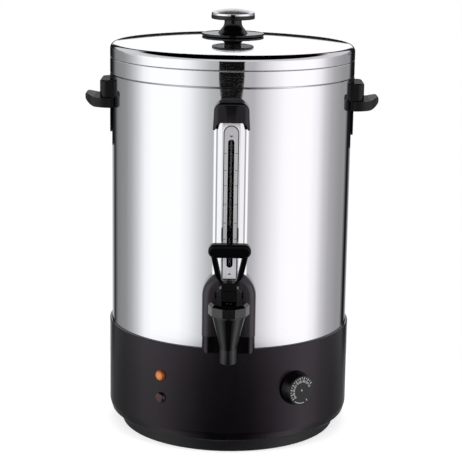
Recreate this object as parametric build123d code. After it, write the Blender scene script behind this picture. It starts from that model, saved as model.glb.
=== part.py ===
from build123d import *
import os
from math import cos, radians, sin, sqrt

# A hot water urn.  Sizes are in millimetres: +Z is up, the front faces -Y, and the urn stands on z = 0
# with its tank's axis on the Z axis.  Angles round the urn are counted from the front towards +X.

# --- fits and gaps ---------------------------------------------------------------------------------
RUN_FIT = 0.06          # radial clearance of a shaft that turns or slides in its hole
THREAD_FIT = 0.05       # radial clearance of a screwed or pushed-in piece
WRAP_GAP = 0.15         # gap of a piece that wraps the round tank
LIFT_GAP = 0.3          # gap between pieces that part or pass one another
OVERLAP = 1.0           # how far joined shapes of one piece run into each other
FAR = 400.0             # longer than the urn is wide, for cuts that go right out

# --- tank ------------------------------------------------------------------------------------------
SHEET = 0.8             # steel sheet of the tank and the lid
TANK_R = 140.0
TANK_BOTTOM_Z = 118.0
TANK_HEIGHT = 320.7
TANK_CORNER = 8.0
RIM_GROW = 2.3          # how far the rolled band under the rim stands proud
RIM_BAND = 17.5
RIM_STEP = 1.6          # height of the drawn step below the band
HEM = 4.0               # height of the folded hems of the rim and the lid
HEM_EDGE = 0.8          # rounding of their folds
TANK_RIM_Z = TANK_BOTTOM_Z + TANK_HEIGHT
TANK_IN_R = TANK_R - SHEET
RIM_R = TANK_R + RIM_GROW
MOUTH_R = RIM_R - 2 * SHEET
TANK_FLOOR_Z = TANK_BOTTOM_Z + SHEET

# --- lid -------------------------------------------------------------------------------------------
LID_Z = TANK_RIM_Z + LIFT_GAP
LID_SKIRT = 9.2
LID_EDGE = 7.2          # radius of the crown's edge
LID_RISE = 8.6          # from the dome's edge up to the flat seat of the knob
LID_SEAT_R = 12.0
LID_HOLE_R = 3.0
RING_GAP = 0.8          # gap between the locating ring and the mouth
RING_DEPTH = 12.0
LID_CROWN_Z = LID_Z + LID_SKIRT + LID_EDGE
LID_TOP_Z = LID_CROWN_Z + LID_RISE

# --- lid knob --------------------------------------------------------------------------------------
SHIELD_R = 36.1         # the disc that keeps steam off the hand
SHIELD_T = 2.3
SHIELD_LIP = 0.5
SHIELD_FALL = 0.25      # how far its underside falls towards the rim, over the dome
STEM_FOOT_R = 17.3
STEM_R = 10.0
STEM_H = 16.7
GRIP_R = 25.2
GRIP_T = 4.8
KNOB_CAP_SPIGOT_R = 12.0
KNOB_CAP_SPIGOT_L = 1.8
KNOB_CAP_BAND = 3.2          # height of the polished cap's straight edge
KNOB_CAP_DOME = 3.5          # how far the cap domes above its edge
KNOB_CAP_SET_IN = 0.3
KNOB_SCREW_R = 2.5
KNOB_SCREW_GRIP = 13.0
KNOB_WASHER_R = 8.0
KNOB_WASHER_T = 1.2
STEM_Z = LID_TOP_Z + SHIELD_T
GRIP_Z = STEM_Z + STEM_H
GRIP_TOP_Z = GRIP_Z + GRIP_T

# --- base skirt ------------------------------------------------------------------------------------
SKIRT_WALL = 2.4
SKIRT_GAP = 0.4         # gap between the tank and the skirt round it
SKIRT_RISE = 9.1        # how far the skirt reaches up the tank
SKIRT_BOTTOM_Z = 17.5
SKIRT_TURN = 9.0        # height of the stretch that turns in at the bottom
SKIRT_TURN_IN = 2.6
FLANGE_T = 2.5
FLANGE_LAND = 3.0       # width of the skirt's floor inside its bosses
LEDGE_T = 3.0
LEDGE_WIDTH = 6.0       # how much of the tank's flat bottom rests on the ledge
SKIRT_IN_R = TANK_R + SKIRT_GAP
SKIRT_R = SKIRT_IN_R + SKIRT_WALL
SKIRT_TOP_Z = TANK_BOTTOM_Z + SKIRT_RISE
LEDGE_IN_R = TANK_R - TANK_CORNER - LEDGE_WIDTH
LEDGE_Z = TANK_BOTTOM_Z - LEDGE_T
OVAL_WIDTH = 79.0
OVAL_HEIGHT = 39.0
OVAL_PROUD = 0.8
OVAL_Z = 71.0

# --- bottom cover, feet and base screws ------------------------------------------------------------
FOOT_RING_TOP_R = 130.5
FOOT_RING_TAPER = 3.3   # how far the ring narrows down to its foot
FOOT_RING_WALL = 3.0
FOOT_RING_LIFT = 0.5    # the ring stays just clear of the table, so the feet carry the urn
COVER_T = 2.5
BOSS_R = 5.0
BOSS_H = 16.0
BOSS_INSET = 4.5        # room between a boss and the foot ring
BASE_SCREW_R = 1.75
BASE_SCREW_L = 14.0
FOOT_INSET = 9.0        # room between a foot and the middle of a base screw
FOOT_R = 9.0
FOOT_T = 4.0
FOOT_PLUG_R = 3.5
FOOT_PLUG_L = 5.0
VENT_COUNT = 16
VENT_IN_R = 50.0
VENT_OUT_R = 82.0
VENT_WIDTH = 4.0
COVER_Z = SKIRT_BOTTOM_Z - COVER_T
FOOT_RING_R = FOOT_RING_TOP_R - FOOT_RING_TAPER
BOSS_CIRCLE = FOOT_RING_TOP_R - FOOT_RING_WALL - BOSS_INSET - BOSS_R
FLANGE_IN_R = BOSS_CIRCLE - BOSS_R - FLANGE_LAND
FOOT_CIRCLE = BOSS_CIRCLE - FOOT_R - FOOT_INSET

# --- tank studs and nuts ---------------------------------------------------------------------------
STUD_R = 2.5
STUD_L = 10.0
LUG_R = 9.0
LUG_CIRCLE = LEDGE_IN_R - 7.0
STUD_ANGLES = (45.0, 135.0, 225.0, 315.0)
NUT_M5_R = 4.6
NUT_M5_T = 4.0

# --- heaters ---------------------------------------------------------------------------------------
ELEMENT_R = 4.0
ELEMENT_RING_R = 80.0
ELEMENT_LIFT = 16.0     # height of the ring's centre line over the tank's underside
ELEMENT_BEND = 12.0
ELEMENT_GAP = 20.0      # half of the angle left open at the back of the ring
BUSH_R = 7.0
BUSH_L = 14.0
BUSH_HEAD_R = 9.5
BUSH_HEAD_T = 3.0
ELEMENT_PIN_R = 2.0
ELEMENT_PIN_L = 8.0
ELEMENT_GASKET_T = 1.5
ELEMENT_NUT_R = 11.0
ELEMENT_NUT_T = 5.0
KEEPER_IN_R = 24.0
KEEPER_R = 48.0
KEEPER_T = 3.0
KEEPER_TAB_W = 6.0
KEEPER_TAB_L = 10.0
CLAMP_T = 1.2
CLAMP_R = KEEPER_R - 4.0
ELEMENT_Z = TANK_BOTTOM_Z + ELEMENT_LIFT

# --- thermostat, dial and bulb ---------------------------------------------------------------------
DIAL_ANGLE = 32.6
DIAL_Z = 76.2
DIAL_BASE_R = 19.85
DIAL_FACE_R = 17.2
DIAL_H = 12.5
DIAL_WALL = 2.5
DIAL_LIFT = 0.8         # gap between the dial and the skirt
SHAFT_R = 3.0
SHAFT_BITE = 7.0        # length of shaft inside the dial
BUSHING_R = 4.5
PAD_T = 3.5             # how far flat pads stand in from the skirt's round inside
THERMOSTAT_SIZE = 34.0
THERMOSTAT_DEPTH = 22.0
THERMOSTAT_SCREW_SPAN = 13.0
THERMOSTAT_SCREW_R = 1.9
THERMOSTAT_SCREW_HEAD_R = 3.0
THERMOSTAT_SCREW_HEAD_T = 1.8
BULB_R = 3.0
BULB_L = 44.0
BULB_ANGLE = 75.0
BULB_CIRCLE = 84.0
CAPILLARY_R = 0.9
CLIP_W = 16.0
CLIP_H = 8.0
CLIP_L = 10.0
PAD_FACE = SKIRT_IN_R - PAD_T
DIAL_BACK = SKIRT_R + DIAL_LIFT

# --- lamps -----------------------------------------------------------------------------------------
LAMP_ANGLE = -32.3
WARM_LAMP_Z = 88.5
HEAT_LAMP_Z = 62.0
LENS_R = 6.3
LENS_FLANGE_T = 1.2
LENS_DOME = 2.4
LAMP_R = 4.9
LAMP_L = 24.0
LAMP_WALL = 1.0
LENS_STUB = 3.0

# --- thermal cut-out and its reset button ----------------------------------------------------------
CUTOUT_ANGLE = 155.0
CUTOUT_Z = 62.0
CUTOUT_R = 11.0
CUTOUT_L = 18.0
CUTOUT_NOSE_R = 5.0
CUTOUT_NOSE_PROUD = 1.5
BUTTON_R = 3.0
BUTTON_PROUD = 3.0
BUTTON_TRAVEL = 2.0
BUTTON_L = 14.0

# --- power inlet -----------------------------------------------------------------------------------
INLET_Z = 62.0
PANEL_DEPTH = 3.0
PANEL_W = 58.0
PANEL_H = 36.0
INLET_FLANGE_W = 50.0
INLET_FLANGE_H = 24.0
INLET_FLANGE_T = 2.5
INLET_W = 28.0
INLET_H = 21.0
INLET_L = 22.0
SOCKET_W = 24.4
SOCKET_H = 16.6
SOCKET_DEPTH = 17.0
SOCKET_CHAMFER = 4.0
PIN_W = 2.0
PIN_H = 4.0
PIN_RECESS = 3.6
PIN_TAIL = 8.0
PIN_SPREAD = 7.0
LIVE_PIN_DROP = 1.5
EARTH_PIN_RISE = 2.5
INLET_SCREW_SPAN = 20.0
INLET_SCREW_R = 1.7
INLET_SCREW_L = 9.0
INLET_SCREW_HEAD_R = 3.2
INLET_SCREW_HEAD_T = 1.6
PANEL_FACE = SKIRT_R - PANEL_DEPTH

# --- terminal block and wiring ---------------------------------------------------------------------
BLOCK_W = 52.0
BLOCK_D = 26.0
BLOCK_H = 15.0
BLOCK_Y = 30.0
WIRE_R = 1.3
WIRE_STANDOFF = 22.0    # straight run of a wire from a terminal to its first bend

# --- side handles ----------------------------------------------------------------------------------
HANDLE_TOP_DROP = 26.2  # below the tank's rim
HANDLE_H = 31.5
HANDLE_OUT = 13.0       # how far the block stands out from the tank
HANDLE_HALF_W = 26.0
HANDLE_CORNER = 8.0
HANDLE_EDGE = 1.6
EAR_OUT = 31.6
EAR_HALF_W = 31.0
EAR_ROOT = 6.0          # where the ear's round outline starts, out from the tank
EAR_FLOOR_RISE = 11.5   # scoop floor over the handle's underside
EAR_LIP_RISE = 15.6
PLATE_TOP_DROP = 20.0
PLATE_H = 69.0
PLATE_T = 2.4
PLATE_HALF_W = 21.0
PLATE_TIP_R = 10.0
HANDLE_SCREW_ANGLE = 6.0
HANDLE_SCREW_RISE = 17.0
HANDLE_SCREW_R = 2.5
HANDLE_SCREW_BITE = 8.0
SCREW_HEAD_R = 4.6
SCREW_HEAD_T = 3.0
WASHER_R = 6.0
WASHER_T = 1.0
HANDLE_TOP_Z = TANK_RIM_Z - HANDLE_TOP_DROP
HANDLE_Z = HANDLE_TOP_Z - HANDLE_H
PLATE_TOP_Z = TANK_RIM_Z - PLATE_TOP_DROP
HANDLE_SCREW_Z = HANDLE_Z + HANDLE_SCREW_RISE

# --- tap -------------------------------------------------------------------------------------------
TAP_REACH = 46.0        # from the tank's wall to the tap's axis
SHANK_RISE = 50.0       # height of the tap's inlet over the tank's underside
SHANK_R = 8.4
SHANK_BORE = 5.5
SHANK_INSIDE = 13.0
TEE_R = 11.0
TEE_BOSS_R = 6.4
TEE_BOSS_RISE = 22.0
TAP_GASKET_R = 13.0
TAP_GASKET_T = 2.0
LOCK_NUT_R = 14.0
LOCK_NUT_T = 6.0
NECK_R = 11.0
NECK_FLANGE_R = 13.5
NECK_FLANGE_T = 2.5
SHANK_BITE = 11.0       # length of shank screwed into the tap's neck
NOZZLE_DROP = 43.0      # from the inlet down to the spout's mouth
NOZZLE_R = 9.45
NOZZLE_BORE = 6.5
NOZZLE_L = 18.0
BOWL_RISE = 11.5        # from the inlet up to the bowl's brim
BOWL_R = 18.2
BOWL_IN_R = 13.6
SEAT_DROP = 8.0
SEAT_R = 9.6
SEAT_CONE = 2.5
BOWL_THREAD_R = 16.2
BOWL_THREAD_H = 10.0
BONNET_R = 22.4         # to the corners of the ten-sided bonnet nut
BONNET_SIDES = 10
BONNET_H = 13.6
BONNET_ROOF = 3.4
BONNET_EDGE = 0.8
BONNET_TOP_EDGE = 2.8
EAR_IN_X = 8.2
EAR_OUT_X = 13.6
EAR_TIP_X = 9.9
EAR_SHOULDER = 13.4
EAR_TIP = 18.0
EAR_HALF_D = 6.0
PIVOT_FORWARD = 6.0     # lever pin ahead of the tap's axis
PIVOT_RISE = 10.0       # lever pin over the bonnet
PIN_R = 2.0
PIN_HEAD_R = 3.2
PIN_HEAD_T = 1.2

# --- tap lever -------------------------------------------------------------------------------------
HUB_HALF_W = 7.8
HUB_R = 9.4
HUB_FRONT = 7.0
HUB_REAR = 9.2
HUB_TOP = 15.0
CHEEK_GAP = 5.2         # half of the room between the cheeks for the valve stem's head
FORK_GAP = 2.7          # half of the slot for the stem's neck
FINGER_R = 2.5
NECK_CLEAR_R = 3.4
HEAD_CAVITY_TOP = 8.4
ARM_T = 8.0
ARM_W = 6.6
ARM_FOOT_X = 10.6
ARM_TOP_X = 17.0
SADDLE_RISE = 15.0      # bottom of the window over the pin
WINDOW_TOP = 42.6
BAR_RISE = 50.2
BAR_HALF_W = 23.0
BAR_HALF_H = 7.5
BAR_HALF_T = 6.0
BAR_EDGE = 3.4
LEVER_LEAN = 5.0        # the lever leans forward by this many degrees
ARM_FILLET = 1.5

# --- valve stem, cup and spring --------------------------------------------------------------------
STEM_ROD_R = 2.2
STEM_HEAD_R = 4.5
STEM_HEAD_T = 3.2
STEM_FLANGE_R = 7.2
STEM_FLANGE_T = 1.5
CUP_H = 8.0
SPRING_WIRE = 0.6
SPRING_R = 5.4
SPRING_TURNS = 6

# --- water gauge -----------------------------------------------------------------------------------
GAUGE_OUT = 18.0        # front of the gauge's cover, out from the tank
GAUGE_HALF_W = 19.0
GAUGE_SHEET = 0.9
FLAT_HALF_W = 9.4       # half of the cover's flat, beside the scale
RAIL_HALF_W = 14.5
RAIL_FOOT_W = 16.3
RAIL_FALL = 2.0         # how far the cover slopes back from the flat to its rails
SHOULDER_DROP = 5.6
SHOULDER_FALL = 1.1
SCALE_HALF_W = 8.55
SCALE_T = 0.7
SCALE_FIT = 0.12
SLOT_HALF_W = 3.45
SLOT_BOTTOM_RISE = 57.0 # above the tap's inlet
SLOT_TOP_DROP = 71.5    # below the tank's rim
SCALE_TOP_DROP = 56.3
SCALE_BOTTOM_RISE = 43.5
COVER_BOTTOM_RISE = 32.0
COVER_TOP_DROP = 46.0
GLASS_OUT = 9.5         # axis of the glass, out from the tank
GLASS_R = 4.5
GLASS_WALL = 1.2
LINER_T = 1.0
LINER_HALF_W = 7.2
SEAL_R = 5.6
SEAL_H = 4.0
CAP_HALF_W = 19.6
CAP_FLARE = 0.9
CAP_DROP = 29.8         # top of the cap below the rim
CAP_SKIRT_DROP = 61.4
CAP_ARCH_DROP = 53.5
CAP_ARCH_HALF_W = 15.8
CAP_OUT = 20.6
CAP_CORNER = 10.0
CAP_EDGE = 4.0
CAP_FRONT_R = 7.0
CAP_SOLID_DROP = 44.6   # the cap is solid above this
CAP_SCREW_DROP = 33.6
CAP_SCREW_R = 2.0

# --- tap shroud ------------------------------------------------------------------------------------
SHROUD_OUT = 19.5
SHROUD_HALF_W = 30.0
SHROUD_WALL = 2.2
SHROUD_TOP_RISE = 53.5  # above the tap's inlet
SHROUD_GATE_RISE = 44.8 # foot of the gate in its front for the scale
SHROUD_GATE_HALF_W = 10.0
SHROUD_EDGE = 8.0
SHROUD_BAND = 19.0
SHROUD_BAND_IN = 0.6
SHROUD_CHAMFER = 4.0
SHROUD_BOTTOM_Z = SKIRT_TOP_Z + LIFT_GAP

# --- places worked out from the sizes above --------------------------------------------------------
SHANK_Z = TANK_BOTTOM_Z + SHANK_RISE
TAP_Y = -(TANK_R + TAP_REACH)
GAUGE_Y = -(TANK_R + GAUGE_OUT)
GLASS_Y = -(TANK_R + GLASS_OUT)
SHROUD_Y = -(TANK_R + SHROUD_OUT)
NOZZLE_Z = SHANK_Z - NOZZLE_DROP
BOWL_Z = SHANK_Z + BOWL_RISE
SEAT_Z = SHANK_Z - SEAT_DROP
BONNET_Z = BOWL_Z + LIFT_GAP
BONNET_TOP_Z = BONNET_Z + BONNET_H
PIVOT_Y = TAP_Y - PIVOT_FORWARD
PIVOT_Z = BONNET_TOP_Z + PIVOT_RISE
FINGER_TOP_Z = PIVOT_Z + FINGER_R
STEM_HEAD_Z = FINGER_TOP_Z + LIFT_GAP
CUP_Z = SEAT_Z + LIFT_GAP
STEM_FLANGE_Z = CUP_Z + CUP_H
SPRING_Z = STEM_FLANGE_Z + STEM_FLANGE_T
SPRING_TOP_Z = BONNET_TOP_Z - BONNET_ROOF
TEE_TOP_Z = SHANK_Z + TEE_BOSS_RISE
GLASS_BOTTOM_Z = TEE_TOP_Z - 3 * SEAL_H
COVER_BOTTOM_Z = SHANK_Z + COVER_BOTTOM_RISE
COVER_TOP_Z = TANK_RIM_Z - COVER_TOP_DROP
CAP_SOLID_Z = TANK_RIM_Z - CAP_SOLID_DROP
GLASS_TOP_Z = CAP_SOLID_Z + 2 * SEAL_H
SCALE_BOTTOM_Z = SHANK_Z + SCALE_BOTTOM_RISE
SCALE_TOP_Z = TANK_RIM_Z - SCALE_TOP_DROP
SLOT_BOTTOM_Z = SHANK_Z + SLOT_BOTTOM_RISE
SLOT_TOP_Z = TANK_RIM_Z - SLOT_TOP_DROP
BLOCK_Z = SKIRT_BOTTOM_Z
UPRIGHT = (Align.CENTER, Align.CENTER, Align.MIN)
HANGING = (Align.CENTER, Align.CENTER, Align.MAX)


# --- helpers ---------------------------------------------------------------------------------------
def outline(*corners):
    """A flat face through the corners; a corner (x, y, r) is rounded with radius r."""
    radii = [corner[2] if len(corner) > 2 else 0 for corner in corners]
    points = [(corner[0], corner[1]) for corner in corners]
    return make_face(FilletPolyline(*points, radius=radii, close=True))


def two_sided(*corners):
    """An outline that is the same on both sides of x = 0; the corners given are those at +x."""
    left = [(-corner[0], *corner[1:]) for corner in reversed(corners)]
    return outline(*corners, *left)


def turned(*corners):
    """A solid of revolution about Z; the corners are (radius, z) or (radius, z, rounding)."""
    return revolve(Plane.XZ * outline(*corners), axis=Axis.Z)


def rod(radius, length, align=UPRIGHT):
    return Cylinder(radius, length, align=align)


def ring(radius, hole, length, align=UPRIGHT):
    return Cylinder(radius, length, align=align) - Cylinder(hole, length, align=align)


def hex_nut(corner_r, hole, thickness, sides=6):
    """A nut that stands on z = 0, with lightly chamfered corners."""
    body = extrude(RegularPolygon(corner_r, sides), amount=thickness)
    chamfer_r = corner_r * (1 + cos(radians(180 / sides))) / 2
    body &= turned((0, 0), (chamfer_r, 0), (corner_r, (corner_r - chamfer_r)),
                   (corner_r, thickness - corner_r + chamfer_r), (chamfer_r, thickness), (0, thickness))
    return body - rod(hole, thickness)


def pan_screw(radius, length, head_r, head_t):
    """A screw whose shank points up from z = 0 and whose round head hangs below z = 0."""
    head = turned((0, -head_t), (head_r, -head_t, head_t / 2), (head_r, 0), (0, 0))
    slot = Pos(0, 0, -head_t) * Box(2 * head_r, head_t / 3, head_t)
    return head - slot + rod(radius, length)


def station(angle, distance, z):
    """A plane on the outside of the urn: its Z points outward, its Y up and its X sideways."""
    turn = radians(angle)
    return Plane(origin=(distance * sin(turn), -distance * cos(turn), z),
                 x_dir=(cos(turn), sin(turn), 0), z_dir=(sin(turn), -cos(turn), 0))


def round_spots(radius, angles, z):
    """Upright planes on a circle about the urn's axis."""
    return [Pos(radius * sin(radians(a)), -radius * cos(radians(a)), z) for a in angles]


def tube_along(points, radius, bends):
    """A round wire along straight runs joined by arcs."""
    path = FilletPolyline(*points, radius=bends)
    start = Plane(origin=path @ 0, z_dir=path % 0)
    return sweep(start * Circle(radius), path=path)


def spot_on(plane, x, y, z=0.0):
    """A point given in a plane's own directions."""
    return plane.from_local_coords(Vector(x, y, z))


def group(pieces):
    return Compound(children=list(pieces))


def tank_core(radius):
    """A solid cylinder over the tank's whole height, for cuts that follow the tank's wall."""
    return Pos(0, 0, TANK_BOTTOM_Z) * rod(radius, TANK_HEIGHT)


# --- tank ------------------------------------------------------------------------------------------
def element_feet():
    """Where the ring heater's two legs stand, and the direction from each leg to its ring end."""
    gap = radians(ELEMENT_GAP)
    feet = []
    for side in (1, -1):
        end = Vector(side * ELEMENT_RING_R * sin(gap), ELEMENT_RING_R * cos(gap), ELEMENT_Z)
        along = Vector(side * cos(gap), -sin(gap), 0)
        feet.append((end - along * ELEMENT_BEND, along, end))
    return feet


def handle_screw_stations(side, distance):
    return [station(side * (90 + turn), distance, HANDLE_SCREW_Z)
            for turn in (-HANDLE_SCREW_ANGLE, HANDLE_SCREW_ANGLE)]


def tank():
    band_z = TANK_RIM_Z - RIM_BAND
    outside = turned((0, TANK_BOTTOM_Z), (TANK_R, TANK_BOTTOM_Z, TANK_CORNER),
                     (TANK_R, band_z - RIM_STEP, 1), (RIM_R, band_z, 1),
                     (RIM_R, TANK_RIM_Z, HEM_EDGE), (0, TANK_RIM_Z))
    inside = turned((0, TANK_FLOOR_Z), (TANK_IN_R, TANK_FLOOR_Z, TANK_CORNER - SHEET),
                    (TANK_IN_R, band_z - RIM_STEP, 1), (RIM_R - SHEET, band_z, 1),
                    (RIM_R - SHEET, TANK_RIM_Z - HEM), (MOUTH_R, TANK_RIM_Z - HEM), (MOUTH_R, TANK_RIM_Z),
                    (0, TANK_RIM_Z))
    body = outside - inside
    body -= station(0, TANK_R, SHANK_Z) * Cylinder(SHANK_R + LIFT_GAP, TANK_CORNER)
    body -= station(0, TANK_R, TANK_RIM_Z - CAP_SCREW_DROP) * Cylinder(CAP_SCREW_R + LIFT_GAP, TANK_CORNER)
    for foot, _, _ in element_feet():
        body -= Pos(foot.X, foot.Y, TANK_BOTTOM_Z) * Cylinder(BUSH_R + LIFT_GAP, TANK_CORNER)
    for side in (1, -1):
        for place in handle_screw_stations(side, TANK_R):
            body -= place * Cylinder(HANDLE_SCREW_R + LIFT_GAP, TANK_CORNER)
    return body


def tank_studs():
    stud = rod(STUD_R, STUD_L, HANGING)
    spots = round_spots(LUG_CIRCLE, STUD_ANGLES, TANK_BOTTOM_Z) + [Pos(0, 0, TANK_BOTTOM_Z)]
    return group(spot * stud for spot in spots)


def tank_nuts():
    nut = hex_nut(NUT_M5_R, STUD_R + THREAD_FIT, NUT_M5_T)
    spots = round_spots(LUG_CIRCLE, STUD_ANGLES, LEDGE_Z - NUT_M5_T)
    spots.append(Pos(0, 0, TANK_BOTTOM_Z - KEEPER_T - CLAMP_T - NUT_M5_T))
    return group(spot * nut for spot in spots)


# --- heaters ---------------------------------------------------------------------------------------
def heating_element():
    """A steel ring in the water whose two ends turn down through the tank's bottom."""
    (foot_a, along_a, end_a), (foot_b, along_b, end_b) = element_feet()
    low = TANK_BOTTOM_Z - BUSH_L
    bend = Vector(0, 0, ELEMENT_BEND)
    slack = ELEMENT_BEND * (1 - cos(radians(45)))

    def bend_middle(foot, along):
        return foot + along * slack - Vector(0, 0, slack)

    edges = [Line(Vector(foot_a.X, foot_a.Y, low), foot_a - bend),
             ThreePointArc(foot_a - bend, bend_middle(foot_a, along_a), end_a),
             ThreePointArc(end_a, (0, -ELEMENT_RING_R, ELEMENT_Z), end_b),
             ThreePointArc(end_b, bend_middle(foot_b, along_b), foot_b - bend),
             Line(foot_b - bend, Vector(foot_b.X, foot_b.Y, low))]
    path = Wire(edges)
    body = sweep(Plane(origin=path @ 0, z_dir=path % 0) * Circle(ELEMENT_R), path=path)
    for foot in (foot_a, foot_b):
        head_z = TANK_FLOOR_Z + ELEMENT_GASKET_T
        body += Pos(foot.X, foot.Y, low) * rod(BUSH_R, head_z - low)
        body += Pos(foot.X, foot.Y, head_z) * rod(BUSH_HEAD_R, BUSH_HEAD_T)
        body += Pos(foot.X, foot.Y, low) * rod(ELEMENT_PIN_R, ELEMENT_PIN_L, HANGING)
    return body


def element_gaskets():
    gasket = ring(BUSH_HEAD_R, BUSH_R + THREAD_FIT, ELEMENT_GASKET_T)
    return group(Pos(foot.X, foot.Y, TANK_FLOOR_Z) * gasket for foot, _, _ in element_feet())


def element_nuts():
    nut = hex_nut(ELEMENT_NUT_R, BUSH_R + THREAD_FIT, ELEMENT_NUT_T)
    return group(Pos(foot.X, foot.Y, TANK_BOTTOM_Z - ELEMENT_NUT_T) * nut for foot, _, _ in element_feet())


def keep_warm_heater():
    """A flat ring heater pressed against the tank's underside, with two tabs for its wires."""
    body = Pos(0, 0, TANK_BOTTOM_Z) * ring(KEEPER_R, KEEPER_IN_R, KEEPER_T, HANGING)
    tab = Box(KEEPER_TAB_W, KEEPER_TAB_L, SHEET, align=(Align.CENTER, Align.MIN, Align.MAX))
    tab_y = KEEPER_R - KEEPER_TAB_L / 2
    for side in (1, -1):
        body += Pos(side * KEEPER_IN_R / 2, tab_y, TANK_BOTTOM_Z - KEEPER_T + SHEET) * tab
    return body


def heater_clamp_plate():
    plate = rod(CLAMP_R, CLAMP_T, HANGING)
    plate = Pos(0, 0, TANK_BOTTOM_Z - KEEPER_T) * plate
    return plate - Pos(0, 0, TANK_BOTTOM_Z - KEEPER_T) * Cylinder(STUD_R + LIFT_GAP, 4 * CLAMP_T)


# --- base ------------------------------------------------------------------------------------------
def inner_pad(angle, z, width, height, face):
    """A flat pad moulded on the inside of the skirt."""
    depth = SKIRT_IN_R + SKIRT_WALL / 2 - face
    block = station(angle, face, z) * Box(width, height, depth, align=UPRIGHT)
    return block & Pos(0, 0, SKIRT_BOTTOM_Z) * rod(SKIRT_IN_R + SKIRT_WALL / 2, TANK_BOTTOM_Z)


def panel_box(width, height, depth):
    return Box(width, height, depth, align=UPRIGHT)


def base_skirt():
    turn_z = SKIRT_BOTTOM_Z + SKIRT_TURN
    floor_z = SKIRT_BOTTOM_Z + FLANGE_T
    body = turned((SKIRT_R, SKIRT_TOP_Z, 1), (SKIRT_R, turn_z, 12),
                  (SKIRT_R - SKIRT_TURN_IN, SKIRT_BOTTOM_Z, 2),
                  (FLANGE_IN_R, SKIRT_BOTTOM_Z), (FLANGE_IN_R, floor_z),
                  (SKIRT_IN_R - SKIRT_TURN_IN, floor_z, 2), (SKIRT_IN_R, turn_z, 8),
                  (SKIRT_IN_R, LEDGE_Z), (LEDGE_IN_R, LEDGE_Z), (LEDGE_IN_R, TANK_BOTTOM_Z),
                  (SKIRT_IN_R, TANK_BOTTOM_Z), (SKIRT_IN_R, SKIRT_TOP_Z))
    lug = rod(LUG_R, LEDGE_T) + Box(2 * LUG_R, LEDGE_IN_R - LUG_CIRCLE + 3, LEDGE_T,
                                    align=(Align.CENTER, Align.MAX, Align.MIN))
    for angle in STUD_ANGLES:
        spot = Rot(0, 0, angle) * Pos(0, -LUG_CIRCLE, LEDGE_Z)
        body += spot * lug
        body -= spot * Cylinder(STUD_R + LIFT_GAP, 3 * LEDGE_T)
    for spot in round_spots(BOSS_CIRCLE, STUD_ANGLES, SKIRT_BOTTOM_Z):
        body += spot * rod(BOSS_R, FLANGE_T + BOSS_H)
        body -= spot * Cylinder(BASE_SCREW_R + THREAD_FIT, 2 * (BASE_SCREW_L + OVERLAP))
    body += inner_pad(DIAL_ANGLE, DIAL_Z, THERMOSTAT_SIZE + 4, THERMOSTAT_SIZE + 4, PAD_FACE)
    body += inner_pad(CUTOUT_ANGLE, CUTOUT_Z, 2 * CUTOUT_R + 4, 2 * CUTOUT_R + 4, PAD_FACE)
    body += inner_pad(180, INLET_Z, PANEL_W + 6, PANEL_H + 6, PANEL_FACE - PAD_T)
    body -= station(180, PANEL_FACE, INLET_Z) * panel_box(PANEL_W, PANEL_H, 2 * PANEL_DEPTH)
    body += oval_pad()
    return body - skirt_holes()


def oval_pad():
    """The plain raised oval on the front of the skirt."""
    oval = extrude(Ellipse(OVAL_WIDTH / 2, OVAL_HEIGHT / 2), amount=SKIRT_R)
    oval = station(0, SKIRT_R - SKIRT_WALL, OVAL_Z) * oval
    shell_z = OVAL_Z - OVAL_HEIGHT
    return oval & Pos(0, 0, shell_z) * ring(SKIRT_R + OVAL_PROUD, SKIRT_R - SKIRT_WALL / 2, 2 * OVAL_HEIGHT)


def skirt_holes():
    """Holes for the lamps, the thermostat, the cut-out's nose and the inlet."""
    holes = []
    for z in (WARM_LAMP_Z, HEAT_LAMP_Z):
        holes.append(station(LAMP_ANGLE, SKIRT_R, z) * Cylinder(LAMP_R + THREAD_FIT, 4 * SKIRT_WALL))
    deep = 6 * SKIRT_WALL
    holes.append(station(DIAL_ANGLE, SKIRT_R, DIAL_Z) * Cylinder(BUSHING_R + THREAD_FIT, deep))
    inlet = station(180, PANEL_FACE, INLET_Z)
    for side in (1, -1):
        screw_z = DIAL_Z + side * THERMOSTAT_SCREW_SPAN
        holes.append(station(DIAL_ANGLE, SKIRT_R, screw_z) * Cylinder(THERMOSTAT_SCREW_R + LIFT_GAP, deep))
        screw = inlet * Pos(side * INLET_SCREW_SPAN, 0, 0)
        holes.append(screw * Cylinder(INLET_SCREW_R + THREAD_FIT, 4 * PAD_T))
    holes.append(station(CUTOUT_ANGLE, SKIRT_R, CUTOUT_Z) * Cylinder(CUTOUT_NOSE_R + THREAD_FIT, deep))
    holes.append(inlet * Box(INLET_W + LIFT_GAP, INLET_H + LIFT_GAP, 4 * PAD_T))
    return holes


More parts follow.
